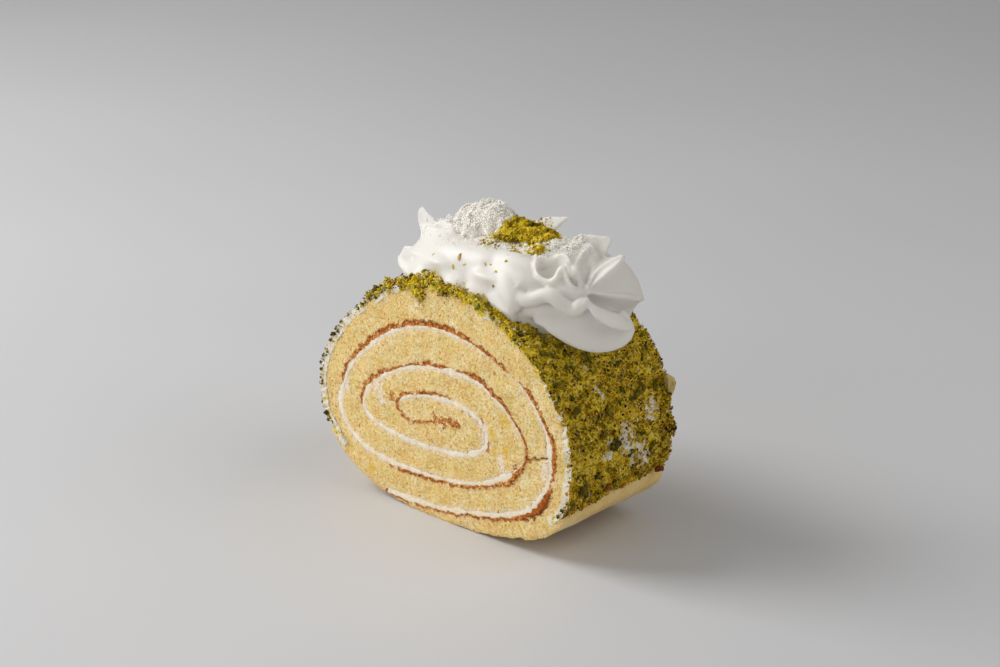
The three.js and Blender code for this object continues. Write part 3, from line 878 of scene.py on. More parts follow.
CRUMB_KINDS = {
    # name: (count, smallest and largest size, shades)
    "pistachio_meal": (9000, (0.2, 0.5), ((96, 76, 8), (172, 142, 6), (232, 200, 18), (248, 224, 80))),
    "pistachio_yellow": (3800, (0.3, 0.8), ((110, 90, 6), (206, 172, 6), (248, 218, 26))),
    "pistachio_green": (1300, (0.35, 1.0), ((66, 78, 12), (122, 126, 20), (186, 178, 52))),
    "pistachio_chunk": (110, (0.9, 1.6), ((62, 74, 18), (96, 104, 26), (150, 146, 54))),
    "pistachio_skin": (1700, (0.25, 0.7), ((52, 16, 10), (84, 34, 18), (120, 62, 34))),
    "pistachio_pale": (1100, (0.25, 0.65), ((192, 168, 86), (224, 206, 144), (248, 240, 214))),
}

# Where the coat's cream shows between the crumbs: place and radius.
BARE_PATCHES = [
    ((52, 2, 35), 7), ((51, 9, 28), 6.5), ((52, -7, 35), 4), ((50, 15, 41), 4.5), ((48, -6, 52), 3),
]


def patch_cover(points):
    """How thickly the crumbs lie at each point, from 0 to 1: thinly where the cream shows."""
    cover = np.ones(len(points))
    for middle, radius in BARE_PATCHES:
        ragged = 0.35 * unevenness(points, 3, 33) + 0.35 * unevenness(points, 1.2, 34)
        away = np.linalg.norm(points - np.array(middle), axis=1) + radius * ragged
        cover = np.minimum(cover, smoothstep(away, radius * 0.1, radius * 1.15))
    return cover


DRAWN_PER_CRUMB = 6  # places drawn for each crumb that is wanted
CLUMP_DENSITY = 1.5  # how many times more crumbs lie in a clump
LOWER_LEFT = (2.35, 66)  # beyond that place and below that height
LOWER_LEFT_DENSITY = 0.35


def coat_places(count, seed):
    """Random places on the coat, few of them where the cream shows or on the lower left."""
    draw = np.random.default_rng(seed)
    place = draw.uniform(*COAT_EXTENT, count * DRAWN_PER_CRUMB)
    y = draw.uniform(-0.5, 0.5, len(place)) * (SLICE_LENGTH + 0.8)
    points, out = coat_points(place, y)
    keep = coat_cover(place, points[:, 2], y)
    patchy = unevenness(points, 5, 31) * 0.5 + 0.5
    keep = keep * (0.55 + 0.45 * smoothstep(patchy, 0.15, 0.5))
    keep = keep * (0.3 + 0.7 * patch_cover(points))
    keep = keep * (1 + CLUMP_DENSITY * np.minimum(clump_height(points), 1))
    lower_left = (place > LOWER_LEFT[0]) & (points[:, 2] < LOWER_LEFT[1])
    keep = np.where(lower_left, keep * LOWER_LEFT_DENSITY, keep)
    chosen = np.flatnonzero(draw.uniform(size=len(keep)) * (1 + CLUMP_DENSITY) < keep)[:count]
    normals = in_space(out[chosen], 0)
    lift = clump_height(points[chosen]) * draw.uniform(size=len(chosen))
    return points[chosen] + normals * lift[:, None], normals


EDGE_CRUMBS_FROM_RIGHT = 46  # the height above which crumbs lie on the coat's cut edge
EDGE_CRUMBS_FROM_LEFT = 64
SHARE_IN_FRONT = 0.55
DRAWN_PER_EDGE_CRUMB = 4


def edge_places(count, seed):
    """Random places on the coat's front and rear edges, most of them at the top."""
    draw = np.random.default_rng(seed)
    place = draw.uniform(*COAT_EXTENT, count * DRAWN_PER_EDGE_CRUMB)
    ends = np.where(draw.uniform(size=len(place)) < SHARE_IN_FRONT, -1.0, 1.0)
    points, out = coat_points(place, ends * (HALF_LENGTH + 0.2))
    lowest = np.where(points[:, 0] > 0, EDGE_CRUMBS_FROM_RIGHT, EDGE_CRUMBS_FROM_LEFT)
    keep = coat_cover(place, points[:, 2]) * lerp(0.1, 1, smoothstep(points[:, 2], lowest, lowest + 10))
    keep *= 1 - 0.7 * smoothstep(unevenness(points, 4, 36), 0.1, 0.35)
    chosen = np.flatnonzero(draw.uniform(size=len(keep)) < keep)[:count]
    normals = in_space(out[chosen] * 0.4, ends[chosen])
    sunk = draw.uniform(-0.4, 1.3, (len(chosen), 1))
    return points[chosen] - in_space(out[chosen], 0) * sunk, normals


# Clusters of crumbs on the cut face: middle, half size, and how many for 10,000 on the coat.
CLUSTERS = [((-11, -24.3, 74.5), (3, 0.8, 3.4), 170), ((-1, -24.2, 77.5), (2.4, 0.7, 1.6), 60)]
CLUSTERS_PER = 10000
SEEDS_PER_CLUSTER = 10

# Large pieces of nut: how dusty, the shades, and each piece's place and size.
LARGE_PIECES = {
    "pistachio_large_dark": (0.6, ((36, 38, 8), (64, 62, 10), (100, 90, 24)), [
        ((28.1, -21, 70.7), 1.7), ((52.5, -4.3, 35.7), 2.6), ((51.9, -17.9, 25.1), 2.8),
        ((52, -13, 28), 2), ((44, 6, 57), 1.8), ((52.6, 22.2, 33), 2), ((52.4, 4, 31), 1.4),
    ]),
    "pistachio_large_green": (0.7, ((70, 72, 10), (104, 98, 16), (150, 132, 34)), [
        ((44.5, -21.3, 57.8), 2.1), ((49.5, 10.3, 48.6), 2.6), ((50.2, -4.7, 46.7), 2.3),
        ((51.2, -23.6, 21.2), 2.4), ((50, 16, 44), 2), ((48.5, -18, 50), 1.9), ((36, -20, 66), 1.6),
        ((-20, -18, 76.5), 1.6), ((-27, -20, 72.6), 1.5), ((4, -21, 79), 1.4), ((51.6, -9, 40), 1.6),
        ((52, 14, 30), 1.7), ((51, 8, 22), 1.6), ((41, -8, 61.6), 1.6),
    ]),
    "pistachio_large_red": (0.3, ((84, 34, 28), (120, 54, 38), (150, 88, 54)), [
        ((50.6, 19.8, 19.6), 1.8), ((47, 1, 52), 1.3), ((52.4, -8, 23), 1.4),
    ]),
    "pistachio_large_pale": (0.1, ((206, 200, 172), (222, 216, 190), (236, 232, 212)), [
        ((50.4, 22.8, 47.5), 3.2),
    ]),
}
COAT_PER_EDGE = 6  # crumbs on the coat for each one on its edges
LARGE_GROWN = 1.15
LARGE_SUNK = 0.1

# The seed of each random draw for the first kind of crumb; each kind adds its number.
COAT_SEED, EDGE_SEED, SIZE_SEED, CLUSTER_SEED, TURN_SEED, LARGE_SEED = 40, 50, 60, 70, 80, 90


def make_crumbs():
    shapes = chip_shapes(12, 5)
    for kind, (name, (count, (small, large), shades)) in enumerate(CRUMB_KINDS.items()):
        places, normals = coat_places(count, COAT_SEED + kind)
        edge, edge_normals = edge_places(count // COAT_PER_EDGE, EDGE_SEED + kind)
        places, normals = np.concatenate([places, edge]), np.concatenate([normals, edge_normals])
        for i, (middle, half, bits) in enumerate(CLUSTERS):
            bits = int(bits * count / CLUSTERS_PER)
            draw = np.random.default_rng(CLUSTER_SEED + SEEDS_PER_CLUSTER * i + kind)
            cluster = draw.normal(size=(bits, 3)) * 0.5
            places = np.concatenate([places, cluster * half + middle])
            normals = np.concatenate([normals, np.tile([0, -1.0, 0.3], (bits, 1))])
        draw = np.random.default_rng(SIZE_SEED + kind)
        sizes = small + (large - small) * draw.uniform(size=len(places)) ** 2
        places = places + normals * (sizes * 0.35)[:, None]
        mat = crumb_material(name, shades)
        strew(name, shapes, places, normals, sizes, mat, "crushed_pistachio", TURN_SEED + kind, tilt=0.35)

    lumps = chip_shapes(8, 23, points=15, flat=(0.45, 0.8), narrow=(0.5, 0.9))
    for kind, (name, (dusted, shades, pieces)) in enumerate(LARGE_PIECES.items()):
        places = np.array([place for place, _ in pieces], float)
        sizes = [size * LARGE_GROWN for _, size in pieces]
        _, index = outline.nearest(places[:, [0, 2]])
        normals = in_space(-outline.inward[index], 0)
        mat = crumb_material(name, shades, dusted=dusted)
        strew(name, lumps, places - normals * LARGE_SUNK, normals, sizes, mat, "crushed_pistachio",
              LARGE_SEED + kind, tilt=0.25)


# ---------------------------------------------------------------- whipped cream


class Rope:
    """The piped rope's path, as points and directions at distances from its left end."""

    def __init__(self):
        self.points = curve_through(ROPE_PATH, 60)
        self.at = lengths_along(self.points)
        self.length = self.at[-1]
        self.along = np.gradient(self.points, self.at, axis=0)

    def frames(self, from_left):
        along = unit(rows_at(from_left, self.at, self.along))
        side = unit(np.cross([0, 0, 1], along))
        return rows_at(from_left, self.at, self.points), side, np.cross(along, side)


def curve_through(places, steps):
    """Points of a smooth curve through the places, a few steps between each two."""
    spline = [Vector(place) for place in places]
    ends = [2 * spline[0] - spline[1]] + spline + [2 * spline[-1] - spline[-2]]
    dense = []
    for a, b, c, d in zip(ends, ends[1:], ends[2:], ends[3:]):
        dense += [centripetal(a, b, c, d, step / steps) for step in range(steps)]
    return np.array(dense + [spline[-1]])


def lengths_along(points):
    return np.concatenate([[0], np.cumsum(np.linalg.norm(np.diff(points, axis=0), axis=1))])


def centripetal(a, b, c, d, share):
    """A point between b and c of a smooth curve through a, b, c and d."""
    t0 = 0.0
    t1 = t0 + math.sqrt((b - a).length)
    t2 = t1 + math.sqrt((c - b).length)
    t3 = t2 + math.sqrt((d - c).length)
    t = lerp(t1, t2, share)
    ab = a * ((t1 - t) / (t1 - t0)) + b * ((t - t0) / (t1 - t0))
    bc = b * ((t2 - t) / (t2 - t1)) + c * ((t - t1) / (t2 - t1))
    cd = c * ((t3 - t) / (t3 - t2)) + d * ((t - t2) / (t3 - t2))
    abc = ab * ((t2 - t) / (t2 - t0)) + bc * ((t - t0) / (t2 - t0))
    bcd = bc * ((t3 - t) / (t3 - t1)) + cd * ((t - t1) / (t3 - t1))
    return abc * ((t2 - t) / (t2 - t1)) + bcd * ((t - t1) / (t2 - t1))


def rope_surface(rope, back, around):
    """Points on the rope some way back from the star end; around is counted in fins."""
    from_left = rope.length - back
    share_along = np.clip(from_left / rope.length, 0, 1)
    centre, side, up = rope.frames(from_left)
    body = smoothstep(back, *STAR_BLEND)
    end = 1 - smoothstep(from_left, *END_BLEND)
    index = np.floor(around).astype(int)
    share = around - index

    def fin(number):
        turns = number // len(ROPE_FINS)
        star, along_body, reach, dip = (
            np.array(column, float)[number % len(ROPE_FINS)] for column in zip(*ROPE_FINS)
        )
        ruffle = np.sin(back / RUFFLE_LENGTH * 2 * math.pi + number * RUFFLE_SHIFT)
        length = lerp(lerp(reach[:, 0], reach[:, 1], body), reach[:, 2], end)
        return lerp(star, along_body, body) + 360 * turns, length * (1 + RUFFLE_DEPTH * body * ruffle), dip

    angle, reach, dip = fin(index)
    next_angle, next_reach, _ = fin(index + 1)
    angle = np.radians(lerp(angle, next_angle, share))
    star_hollow = lerp(dip, HOLLOW_DEEPEST, np.exp(-back / STAR_DEPTH_LENGTH))
    end_depth = END_HOLLOW_DEPTH * np.exp(-from_left / STAR_DEPTH_LENGTH)
    depth = np.minimum(star_hollow + end_depth, HOLLOW_DEEPEST)
    hollow = np.maximum(np.sin(share * math.pi), 0) ** HOLLOW_ROUNDNESS
    grown = (1 - np.exp(-back / STAR_CREST_GROWTH)) * (1 - np.exp(-from_left / STAR_CREST_GROWTH))
    spread = grown * lerp(reach, next_reach, share) * (1 - depth * hollow)
    rightward = smoothstep(share_along, *ROPE_THICKENS)
    rise, fall = lerp(*ROPE_RISE, rightward), lerp(*ROPE_FALL, rightward)
    height = np.where(np.sin(angle) > 0, rise, fall)
    return (
        centre
        + side * (np.cos(angle) * spread * ROPE_HALF_WIDTH)[:, None]
        + up * (np.sin(angle) * spread * height)[:, None]
    )


# Folds and fins beside the rope's own. Each is a leaf along a path: points of its middle line, half
# its width and half its thickness along it, the way its face looks, how far its edges curl that way.
CREAM_LEAVES = {
    "front of the body": (
        [(-22, -11, 82.2), (-10, -12.8, 83.6), (8, -13, 84.2), (24, -11, 84.6)],
        (4.6, 6.6, 7, 6), (4, 6.2, 6.6, 5), (0.05, -0.8, 0.6), 0, 0.4,
    ),
    "lower left fin": (
        [(-4.7, -14, 83), (-14.3, -14.4, 81.4), (-21.5, -13.8, 79.6), (-26, -13.1, 79.2),
         (-30.6, -12.4, 80)],
        (4, 5.6, 5.2, 5, 3.4), (4, 3, 1.6, 1.1, 0.6), (0, -0.9, 0.45), 1.4, 0.25,
    ),
    "upper left fin": (
        [(-9, -8, 89.5), (-15.5, -8, 88.3), (-20, -7.4, 88.4), (-23.4, -6.4, 89.8)],
        (5, 5, 4.2, 2.4), (4, 2.6, 1.3, 0.8), (-0.1, -0.85, 0.5), 1.8, 0.4,
    ),
    "horn": (
        [(-15.5, -7.5, 86), (-21, -7.3, 88.6), (-25, -6.6, 91.4), (-28, -6, 94.6)],
        (4.4, 3.9, 3.3, 2.1), (1.8, 1.1, 0.8, 0.5), (-0.2, -0.85, 0.3), 1.2, 0.4,
    ),
    "sheet beside the horn": (
        [(-24, -6.5, 87.4), (-20, -6.2, 88.4), (-15, -6, 90)],
        (3, 3.8, 4.4), (1.2, 1.8, 2.2), (-0.1, -0.9, 0.3), 0.6, 0.3,
    ),
    "corner of the lower left fin": (
        [(-19, -12.2, 80.4), (-24.6, -12.4, 81.2), (-29.4, -12.5, 81.6)],
        (3, 2.6, 1.8), (1.6, 1.2, 0.6), (0, -0.9, 0.3), 0.6, 0.15,
    ),
    "below the ridge": (
        [(20, -16.5, 79), (25.5, -16.6, 77.4), (31, -14.4, 77), (37, -11.2, 77), (41, -9, 78)],
        (3, 3.2, 3, 2.6, 1.6), (2.2, 2.2, 2, 1.8, 1.2), (0.5, -0.8, 0.25), 0, 0.5,
    ),
    "shoulder": (
        [(10, -12.6, 87), (19, -15.6, 86.4), (26.4, -15.7, 84.8), (32, -13.2, 84)],
        (5, 4.6, 3.6, 2.4), (3, 3, 2.6, 1.8), (0.3, -0.75, 0.6), 0, 0.5,
    ),
    "slope under the hook": (
        [(28, -13.4, 84.8), (33.5, -12.3, 84.8), (38, -10.8, 84.2), (42, -9.2, 83.2)],
        (2.6, 2.8, 2.4, 1), (1.8, 1.8, 1.6, 1), (0.55, -0.75, 0.4), 0, 0.5,
    ),
    "right front of the body": (
        [(8, -13.5, 86.5), (19, -14, 86.8), (28.2, -13, 86.6)],
        (5, 5.4, 4.6), (3.4, 3.4, 2.6), (0.3, -0.8, 0.5), 0, 0.5,
    ),
    "left scallop": (
        [(-8, -12, 84), (-4.5, -17, 81.8), (-1, -21, 78.4)],
        (8, 7, 5), (3.6, 2.8, 1.8), (0, -0.75, 0.65), 0, 0.7,
    ),
    "middle scallop": (
        [(2, -12, 86), (8, -17, 82.4), (12.4, -21.6, 77)],
        (7.5, 6.6, 4.6), (3.6, 2.9, 2), (0.1, -0.75, 0.65), 0, 0.7,
    ),
    "tongue": (
        [(14, -14, 87), (20.3, -18, 83.5), (24.2, -19.8, 80.2), (26.3, -19.8, 76.3)],
        (4.6, 4.2, 3.6, 2.9), (3.2, 3, 2.6, 2), (0.4, -0.8, 0.4), 0, 0.7,
    ),
    "overhanging ridge": (
        [(17, -13, 84.4), (21, -16.8, 83), (24.2, -18.5, 81.6), (27.5, -18.5, 80.2), (30, -17.2, 80.6),
         (32.6, -15.6, 82), (35, -14.6, 82.2), (37.2, -13.4, 80.6), (39.2, -12, 78.8), (41.3, -11, 78.2),
         (43.2, -9.6, 79.6), (43.9, -8.2, 82.6)],
        (2.6, 2.6, 2.6, 2.4, 2.3, 2.3, 2.3, 2.4, 2.4, 2.4, 2, 1), (2.2,), (0.4, -0.8, 0.4), 0, 0.6,
    ),
    "petal": (
        [(30, -17, 74), (33, -14.5, 74.4), (37, -11.2, 73.2), (41, -8, 72), (45.2, -4.8, 71.4),
         (49, -1.2, 72.2), (51.8, 2.6, 74.4)],
        (2.4, 4.4, 5.6, 6.6, 7.2, 7.4, 6.4), (1.2, 2, 2.6, 2.8, 2.6, 2, 1.2), (0.62, -0.7, 0.25), 1.6, 0.5,
    ),
    "hook": (
        [(26, -11, 91.4), (27.4, -13, 89.6), (29.4, -14.2, 87.4), (31.4, -13.9, 86.2), (33.6, -13.2, 86),
         (35, -12.4, 87.4), (35.1, -11.4, 89.2), (35.7, -10.6, 90.2), (36.8, -10.4, 89.4),
         (37.8, -10.6, 87.6), (39.2, -10.6, 86), (41.2, -10, 84.8)],
        (2, 1.6, 1.4, 1.3, 1.3, 1.3, 1.3, 1.2, 1.1, 1.1, 1.2, 1), (1.5,), (0.6, -0.7, 0.4), 0, 0.5,
    ),
    "behind the hook": (
        [(33, -11.6, 88.6), (34.8, -11, 87.4), (36.8, -10.2, 85.8)],
        (1.8, 2.2, 1.8), (1.2, 1.5, 1.2), (0.6, -0.7, 0.4), 0, 0.5,
    ),
    "below the star": (
        [(36.6, -10.6, 81.8), (39, -9.6, 83.2), (41.6, -8.4, 84)],
        (2.2, 2.2, 1.6), (1.8, 1.8, 1.2), (0.6, -0.7, 0.3), 0, 0.5,
    ),
    "bulb": (
        [(40.4, -11, 76.8), (41.8, -10.4, 79.2), (43, -9, 82)],
        (2.2, 2.2, 1.2), (2, 2, 1.1), (0.6, -0.7, 0.3), 0, 0.6,
    ),
    "lower right fin": (
        [(44, -8.6, 82.2), (45.8, -7.8, 79), (48.2, -5.8, 76.6), (51.2, -3, 74.8), (54, 0.6, 72.6)],
        (0.9, 2, 2.8, 3, 2.4), (0.8, 1, 1, 1, 0.8), (0.5, -0.3, 0.8), 0, 0.5,
    ),
    "rear fin": (
        [(3, 6, 87), (8, 9, 90.5), (12.8, 11.5, 93.6), (17.5, 14, 96.6)],
        (5, 4.4, 3.2, 0.8), (3, 2, 1.2, 0.6), (0.3, -0.6, 0.7), 1, 0.6,
    ),
    "right rear fin": (
        [(28, 2, 88), (32.5, 5, 91), (35.5, 7.5, 93), (38.4, 9, 95.4)],
        (6, 5.4, 4, 1.6), (3, 2, 1.2, 0.7), (0.6, -0.5, 0.5), 1, 0.6,
    ),
}

# Strokes that press in or raise the surface: points, half its width and height.
CREAM_STROKES = [
    ([(29.4, -12.4, 89.4), (32, -10.8, 88.8)], 2.4, -2.2),  # pocket above the hook
    ([(36.6, -8.6, 90.4), (37.8, -9.6, 88.2), (39.6, -9.8, 86.2)], 1.1, -1.6),  # beside the upper fin
    ([(27.4, -16.4, 83.6), (31.6, -13.4, 83.8), (36, -10.8, 83.4)], 1.7, -1),
    ([(12, -17, 86), (16, -20, 81.6)], 2, -1.2),
    ([(3, -17.5, 85), (6, -20, 81)], 1.8, -1),
    ([(40.8, -7.4, 86), (37.9, -7.5, 89.3), (35.7, -3.1, 90.9), (35.3, 1.5, 93.1)], 0.7, 1.1),  # upper fin
    ([(42.3, -6.5, 84.7), (41.6, -3.9, 86.7), (42.1, -0.4, 88.6), (45.5, 5.3, 92)], 0.7, 1.1),
    ([(43.4, -6.8, 83.2), (47.1, -1.9, 82.1), (51, 4.4, 80.8)], 0.7, 1.2),  # right fin
    ([(44.2, -6.6, 81.2), (46, -3.6, 79.8), (49, -0.2, 78.4)], 1.3, -2),  # wedge under the right fin
    ([(41.2, -5.8, 86), (39.6, -2.6, 89)], 1.2, -1),
    ([(-30.6, -12.8, 77.6), (-31, -12.9, 80), (-30, -13.1, 83)], 0.7, 0.6),  # left fin's edge
]

# Places where the cream is smoothed once more: place and radius.
CREAM_EASED = [((21.6, -17, 84.5), 2.4), ((35, -12, 87.6), 1.3)]
CREAM_VOXEL = 0.385
POINTS_PER_FIN = 40
RINGS_ALONG_ROPE = 260
# Stretches of the rope, in x, where its leaves melt into one body.
SMOOTH_BODY = [(-20 + i, 27 - 1.5 * i) for i in range(8)]
LEAF_STEPS = 80
STROKE_STEPS = 24


def smooth_line(places, count):
    """Evenly spaced points of a smooth curve through the places, and its directions there."""
    dense = curve_through(places, 30)
    at = lengths_along(dense)
    line = rows_at(np.linspace(0, at[-1], count), at, dense)
    return line, unit(np.gradient(line, axis=0))


def add_leaf(bm, path, widths, thicknesses, facing, curl, blunt):
    """A closed leaf of cream: a ball drawn out along the path and pressed flat."""
    ball_verts = bmesh.ops.create_uvsphere(bm, u_segments=36, v_segments=48, radius=1)["verts"]
    ball = np.array([v.co for v in ball_verts])
    ring = np.hypot(ball[:, 0], ball[:, 1])
    across = ball[:, 0] / np.maximum(ring, 1e-6)
    out = ball[:, 1] / np.maximum(ring, 1e-6)
    full = np.where(ring < 1e-5, 0, ring ** blunt)
    share = (1 - ball[:, 2]) / 2
    line, along = smooth_line(path, LEAF_STEPS)
    at = np.linspace(0, 1, LEAF_STEPS)
    centre, along = rows_at(share, at, line), rows_at(share, at, along)
    width = np.interp(share, np.linspace(0, 1, len(widths)), widths) * full
    thick = np.interp(share, np.linspace(0, 1, len(thicknesses)), thicknesses) * full
    face = unit(np.array(facing) - along * (along @ np.array(facing))[:, None])
    lift = out * thick + curl * (across * full) ** 2
    points = centre + np.cross(along, face) * (across * width)[:, None] + face * lift[:, None]
    for vert, point in zip(ball_verts, points):
        vert.co = point


def press_strokes(bm):
    """Presses in or raises the cream along the strokes."""
    bm.normal_update()
    points = coordinates(bm)
    normals = np.array([v.normal for v in bm.verts])
    for path, half_width, height in CREAM_STROKES:
        line, _ = smooth_line(path, STROKE_STEPS)
        near = np.min(np.linalg.norm(points[:, None, :] - line[None, :, :], axis=2), axis=1)
        points += normals * (height * np.exp(-(near / half_width) ** 2))[:, None]
    set_coordinates(bm, points)


def remeshed(bm, voxel):
    """The same body as one skin of even small cells."""
    mesh = mesh_of("rough", bm)
    rough = add_object("rough", mesh)
    remesh = rough.modifiers.new("skin", "REMESH")
    remesh.mode = "VOXEL"
    remesh.voxel_size = voxel
    graph = bpy.context.evaluated_depsgraph_get()
    graph.update()
    skin = bmesh.new()
    skin.from_object(rough, graph)
    bpy.data.objects.remove(rough)
    bpy.data.meshes.remove(mesh)
    return skin


def whipped_material():
    cream = Finish("whipped_cream", 0.42, 0.4)
    cream.soft(0.5, (1.0, 0.85, 0.65), 3.5)
    cream.color(cream.ramp(cream.noise(12), (0.3, (232, 229, 222)), (0.7, (236, 233, 227))))
    cream.bump(cream.noise(1.8, 3, 0.6), 0.12, 0.4)
    return cream.material


def make_whipped_cream():
    """The whipped cream; what comes back finds places on it, in millimetres."""
    rope = Rope()
    bm = bmesh.new()
    around_rope = POINTS_PER_FIN * len(ROPE_FINS)
    bmesh.ops.create_uvsphere(bm, u_segments=around_rope, v_segments=RINGS_ALONG_ROPE, radius=1)
    ball = coordinates(bm)
    back = rope.length * (1 - ball[:, 2]) / 2
    around = (np.arctan2(ball[:, 1], ball[:, 0]) / (2 * math.pi)) % 1 * len(ROPE_FINS)
    set_coordinates(bm, rope_surface(rope, back, around))
    for leaf in CREAM_LEAVES.values():
        add_leaf(bm, *leaf)
    bmesh.ops.recalc_face_normals(bm, faces=bm.faces)
    bm = remeshed(bm, CREAM_VOXEL)
    soften(bm, bm.verts, 2)
    for low, high in SMOOTH_BODY:
        soften(bm, [v for v in bm.verts if low < v.co.x < high], 2)
    press_strokes(bm)
    for place, radius in CREAM_EASED:
        soften(bm, [v for v in bm.verts if (v.co - Vector(place)).length < radius], 10)
    soften(bm, bm.verts, 1)
    tree = BVHTree.FromBMesh(bm)
    piece = finish_piece("whipped_cream", bm, [whipped_material()], "whipped_cream", 180)
    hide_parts("whipped_cream")
    return tree


def soften(bm, verts, times):
    for _ in range(times):
        bmesh.ops.smooth_vert(
            bm, verts=verts, factor=0.5, use_axis_x=True, use_axis_y=True, use_axis_z=True
        )


# ---------------------------------------------------------------- what lies on the whipped cream

HEAP_CELL = 0.35
HEAP_SPILL = 0.12  # how many bits lie just beyond a heap's edge, of those on it
DRAWN_PER_BIT = 5
HEAP_DEPTH = 1.5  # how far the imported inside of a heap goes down
BITS_PROUD = 0.3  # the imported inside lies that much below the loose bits
ABOVE_ALL = 130
COAT_HEIGHT = 70  # taken where there is no cream below

# Heaps: middle and half size in x and y, height, and how many loose bits lie on the heap.
COCONUT_HEAPS = [
    ((-4, 0), (13, 9.6), 7.5, 8200),
    ((24.8, 0.8), (9.4, 5.6), 0.8, 1500),
    ((19.5, -1.6), (13, 7.6), 0.1, 2200),
]
PISTACHIO_HEAPS = [
    ((9.2, -1.3), (8, 7.6), 5.2, 3400),
    ((18, -1.4), (7.6, 4.6), 3, 1800),
    ((23.8, -8.8), (3.4, 1.4), 0.3, 150),
]

# Single bits on the cream: place and size.
GREEN_BITS = [
    ((-0.8, -19.4, 84.4), 0.9), ((3.4, -18.2, 85.8), 0.8), ((-10, -18.8, 86), 0.6),
    ((16.4, -17.6, 85), 0.8), ((17, -19, 82.8), 0.8), ((18, -15, 88), 0.7), ((12.6, -16.4, 87), 0.6),
    ((16.6, -10.8, 91), 0.7), ((3, -9.8, 91), 0.8), ((4.6, -10.2, 91), 0.7),
]
BROWN_BITS = [
    ((0.8, -17, 86.8), 1.3), ((2.2, -10, 91), 1.1), ((10.4, -16.6, 86.6), 0.7), ((-7, 0, 99), 1.2),
]


def height_at(tree, x, y):
    hit = tree.ray_cast(Vector((x, y, ABOVE_ALL)), Vector((0, 0, -1)))[0]
    return COAT_HEIGHT if hit is None else hit.z


def heap_surface(tree, spots, heap, seed):
    """Heights of a heap's top over places (x, y), and each place's share of the way to its edge."""
    middle, half, height, _ = heap
    share = np.linalg.norm((spots - middle) / half, axis=1)
    edge_spots = np.column_stack([spots, np.full(len(spots), 3.0)])
    share *= 1 + 0.22 * unevenness(edge_spots, 6, seed + 2) + 0.12 * unevenness(edge_spots, 2.5, seed + 3)
    lump_spots = np.column_stack([spots, np.zeros(len(spots))])
    lumps = 0.7 * unevenness(lump_spots, 4, seed) + 0.65 * unevenness(lump_spots, 1.6, seed + 1)
    ground = np.array([height_at(tree, x, y) for x, y in spots])
    dome = height * np.maximum(0, 1 - share ** 2) ** 0.5
    return ground + dome + lumps * smoothstep(share, 0.95, 0.5), share


def heap_core(name, tree, heap, seed, mat, slot):
    """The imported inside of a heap, rough on top."""
    middle, half, _, _ = heap
    across, along = (int(2 * h / HEAP_CELL) for h in half)
    placed = Matrix.Translation((*middle, 0)) @ Matrix.Diagonal((*half, 1, 1))
    bm = bmesh.new()
    bmesh.ops.create_grid(bm, x_segments=across, y_segments=along, size=1, matrix=placed)
    spots = coordinates(bm)[:, :2]
    top, share = heap_surface(tree, spots, heap, seed)
    set_coordinates(bm, np.column_stack([spots, top - BITS_PROUD - 2.5 * smoothstep(share, 0.75, 1)]))
    bmesh.ops.delete(bm, geom=[v for v, s in zip(bm.verts, share) if s > 1], context="VERTS")
    bm.normal_update()
    bmesh.ops.solidify(bm, geom=list(bm.faces), thickness=HEAP_DEPTH)
    bmesh.ops.recalc_face_normals(bm, faces=bm.faces)
    finish_piece(name, bm, [mat], slot, 60)


def heap_places(tree, heap, seed):
    """Places and normals of loose bits on a heap, some a little beyond its edge."""
    middle, half, height, count = heap
    draw = np.random.default_rng(seed + 3)
    spots = draw.uniform(-1.7, 1.7, (count * DRAWN_PER_BIT, 2)) * half + middle
    top, share = heap_surface(tree, spots, heap, seed)
    beyond = HEAP_SPILL * smoothstep(share, 1.9, 1.0)
    keep = draw.uniform(size=len(share)) < np.where(share < 1.02, 1, beyond)
    spots, top = spots[keep][:count], top[keep][:count]
    away = (spots - middle) / half * height * 1.2 / max(half)
    return np.column_stack([spots, top]), np.column_stack([away, np.ones(len(away))])


def bits_on_cream(tree, bits):
    """Places on the cream nearest to the bits' own, with the cream's normals there, and the sizes."""
    hits = [tree.find_nearest(Vector(place)) for place, _ in bits]
    places, normals = [np.array(hit[0]) for hit in hits], [np.array(hit[1]) for hit in hits]
    return places, normals, [size for _, size in bits]


def coconut_material():
    flake = Finish("coconut", 0.85, 0.1)
    shades = ((252, 247, 236), (255, 252, 244), (255, 254, 250))
    flake.color(flake.ramp(flake.attribute("shade"), *even_stops(shades)))
    flake.bump(flake.noise(0.5, 3, 0.7), 0.2, 0.5)
    return flake.material


def packed_coconut_material():
    packed = Finish("packed_coconut", 0.85, 0.1)
    packed.color(packed.ramp(packed.noise(1.2, 3, 0.7), (0.3, (244, 240, 230)), (0.6, (254, 252, 247))))
    packed.bump(packed.noise(0.8, 4, 0.7), 0.4, 0.8)
    return packed.material


def packed_pistachio_material():
    packed = Finish("packed_pistachio", 0.8, 0.3)
    packed.color(packed.ramp(
        packed.noise(1.0, 4, 0.75), (0.34, (84, 66, 12)), (0.48, (146, 120, 18)), (0.62, (206, 174, 36))
    ))
    packed.bump(packed.noise(0.7, 4, 0.75), 0.6, 1.0)
    return packed.material


FLAKE_SIZES = (0.3, 0.78)
CHIP_SIZES = (0.25, 0.75)
HEAP_CHIPS = ((92, 74, 12), (160, 134, 18), (224, 192, 28), (252, 230, 84))
COCONUT_SEED, CHOPPED_SEED, BITS_SEED = 200, 300, 400
SEEDS_PER_HEAP = 20


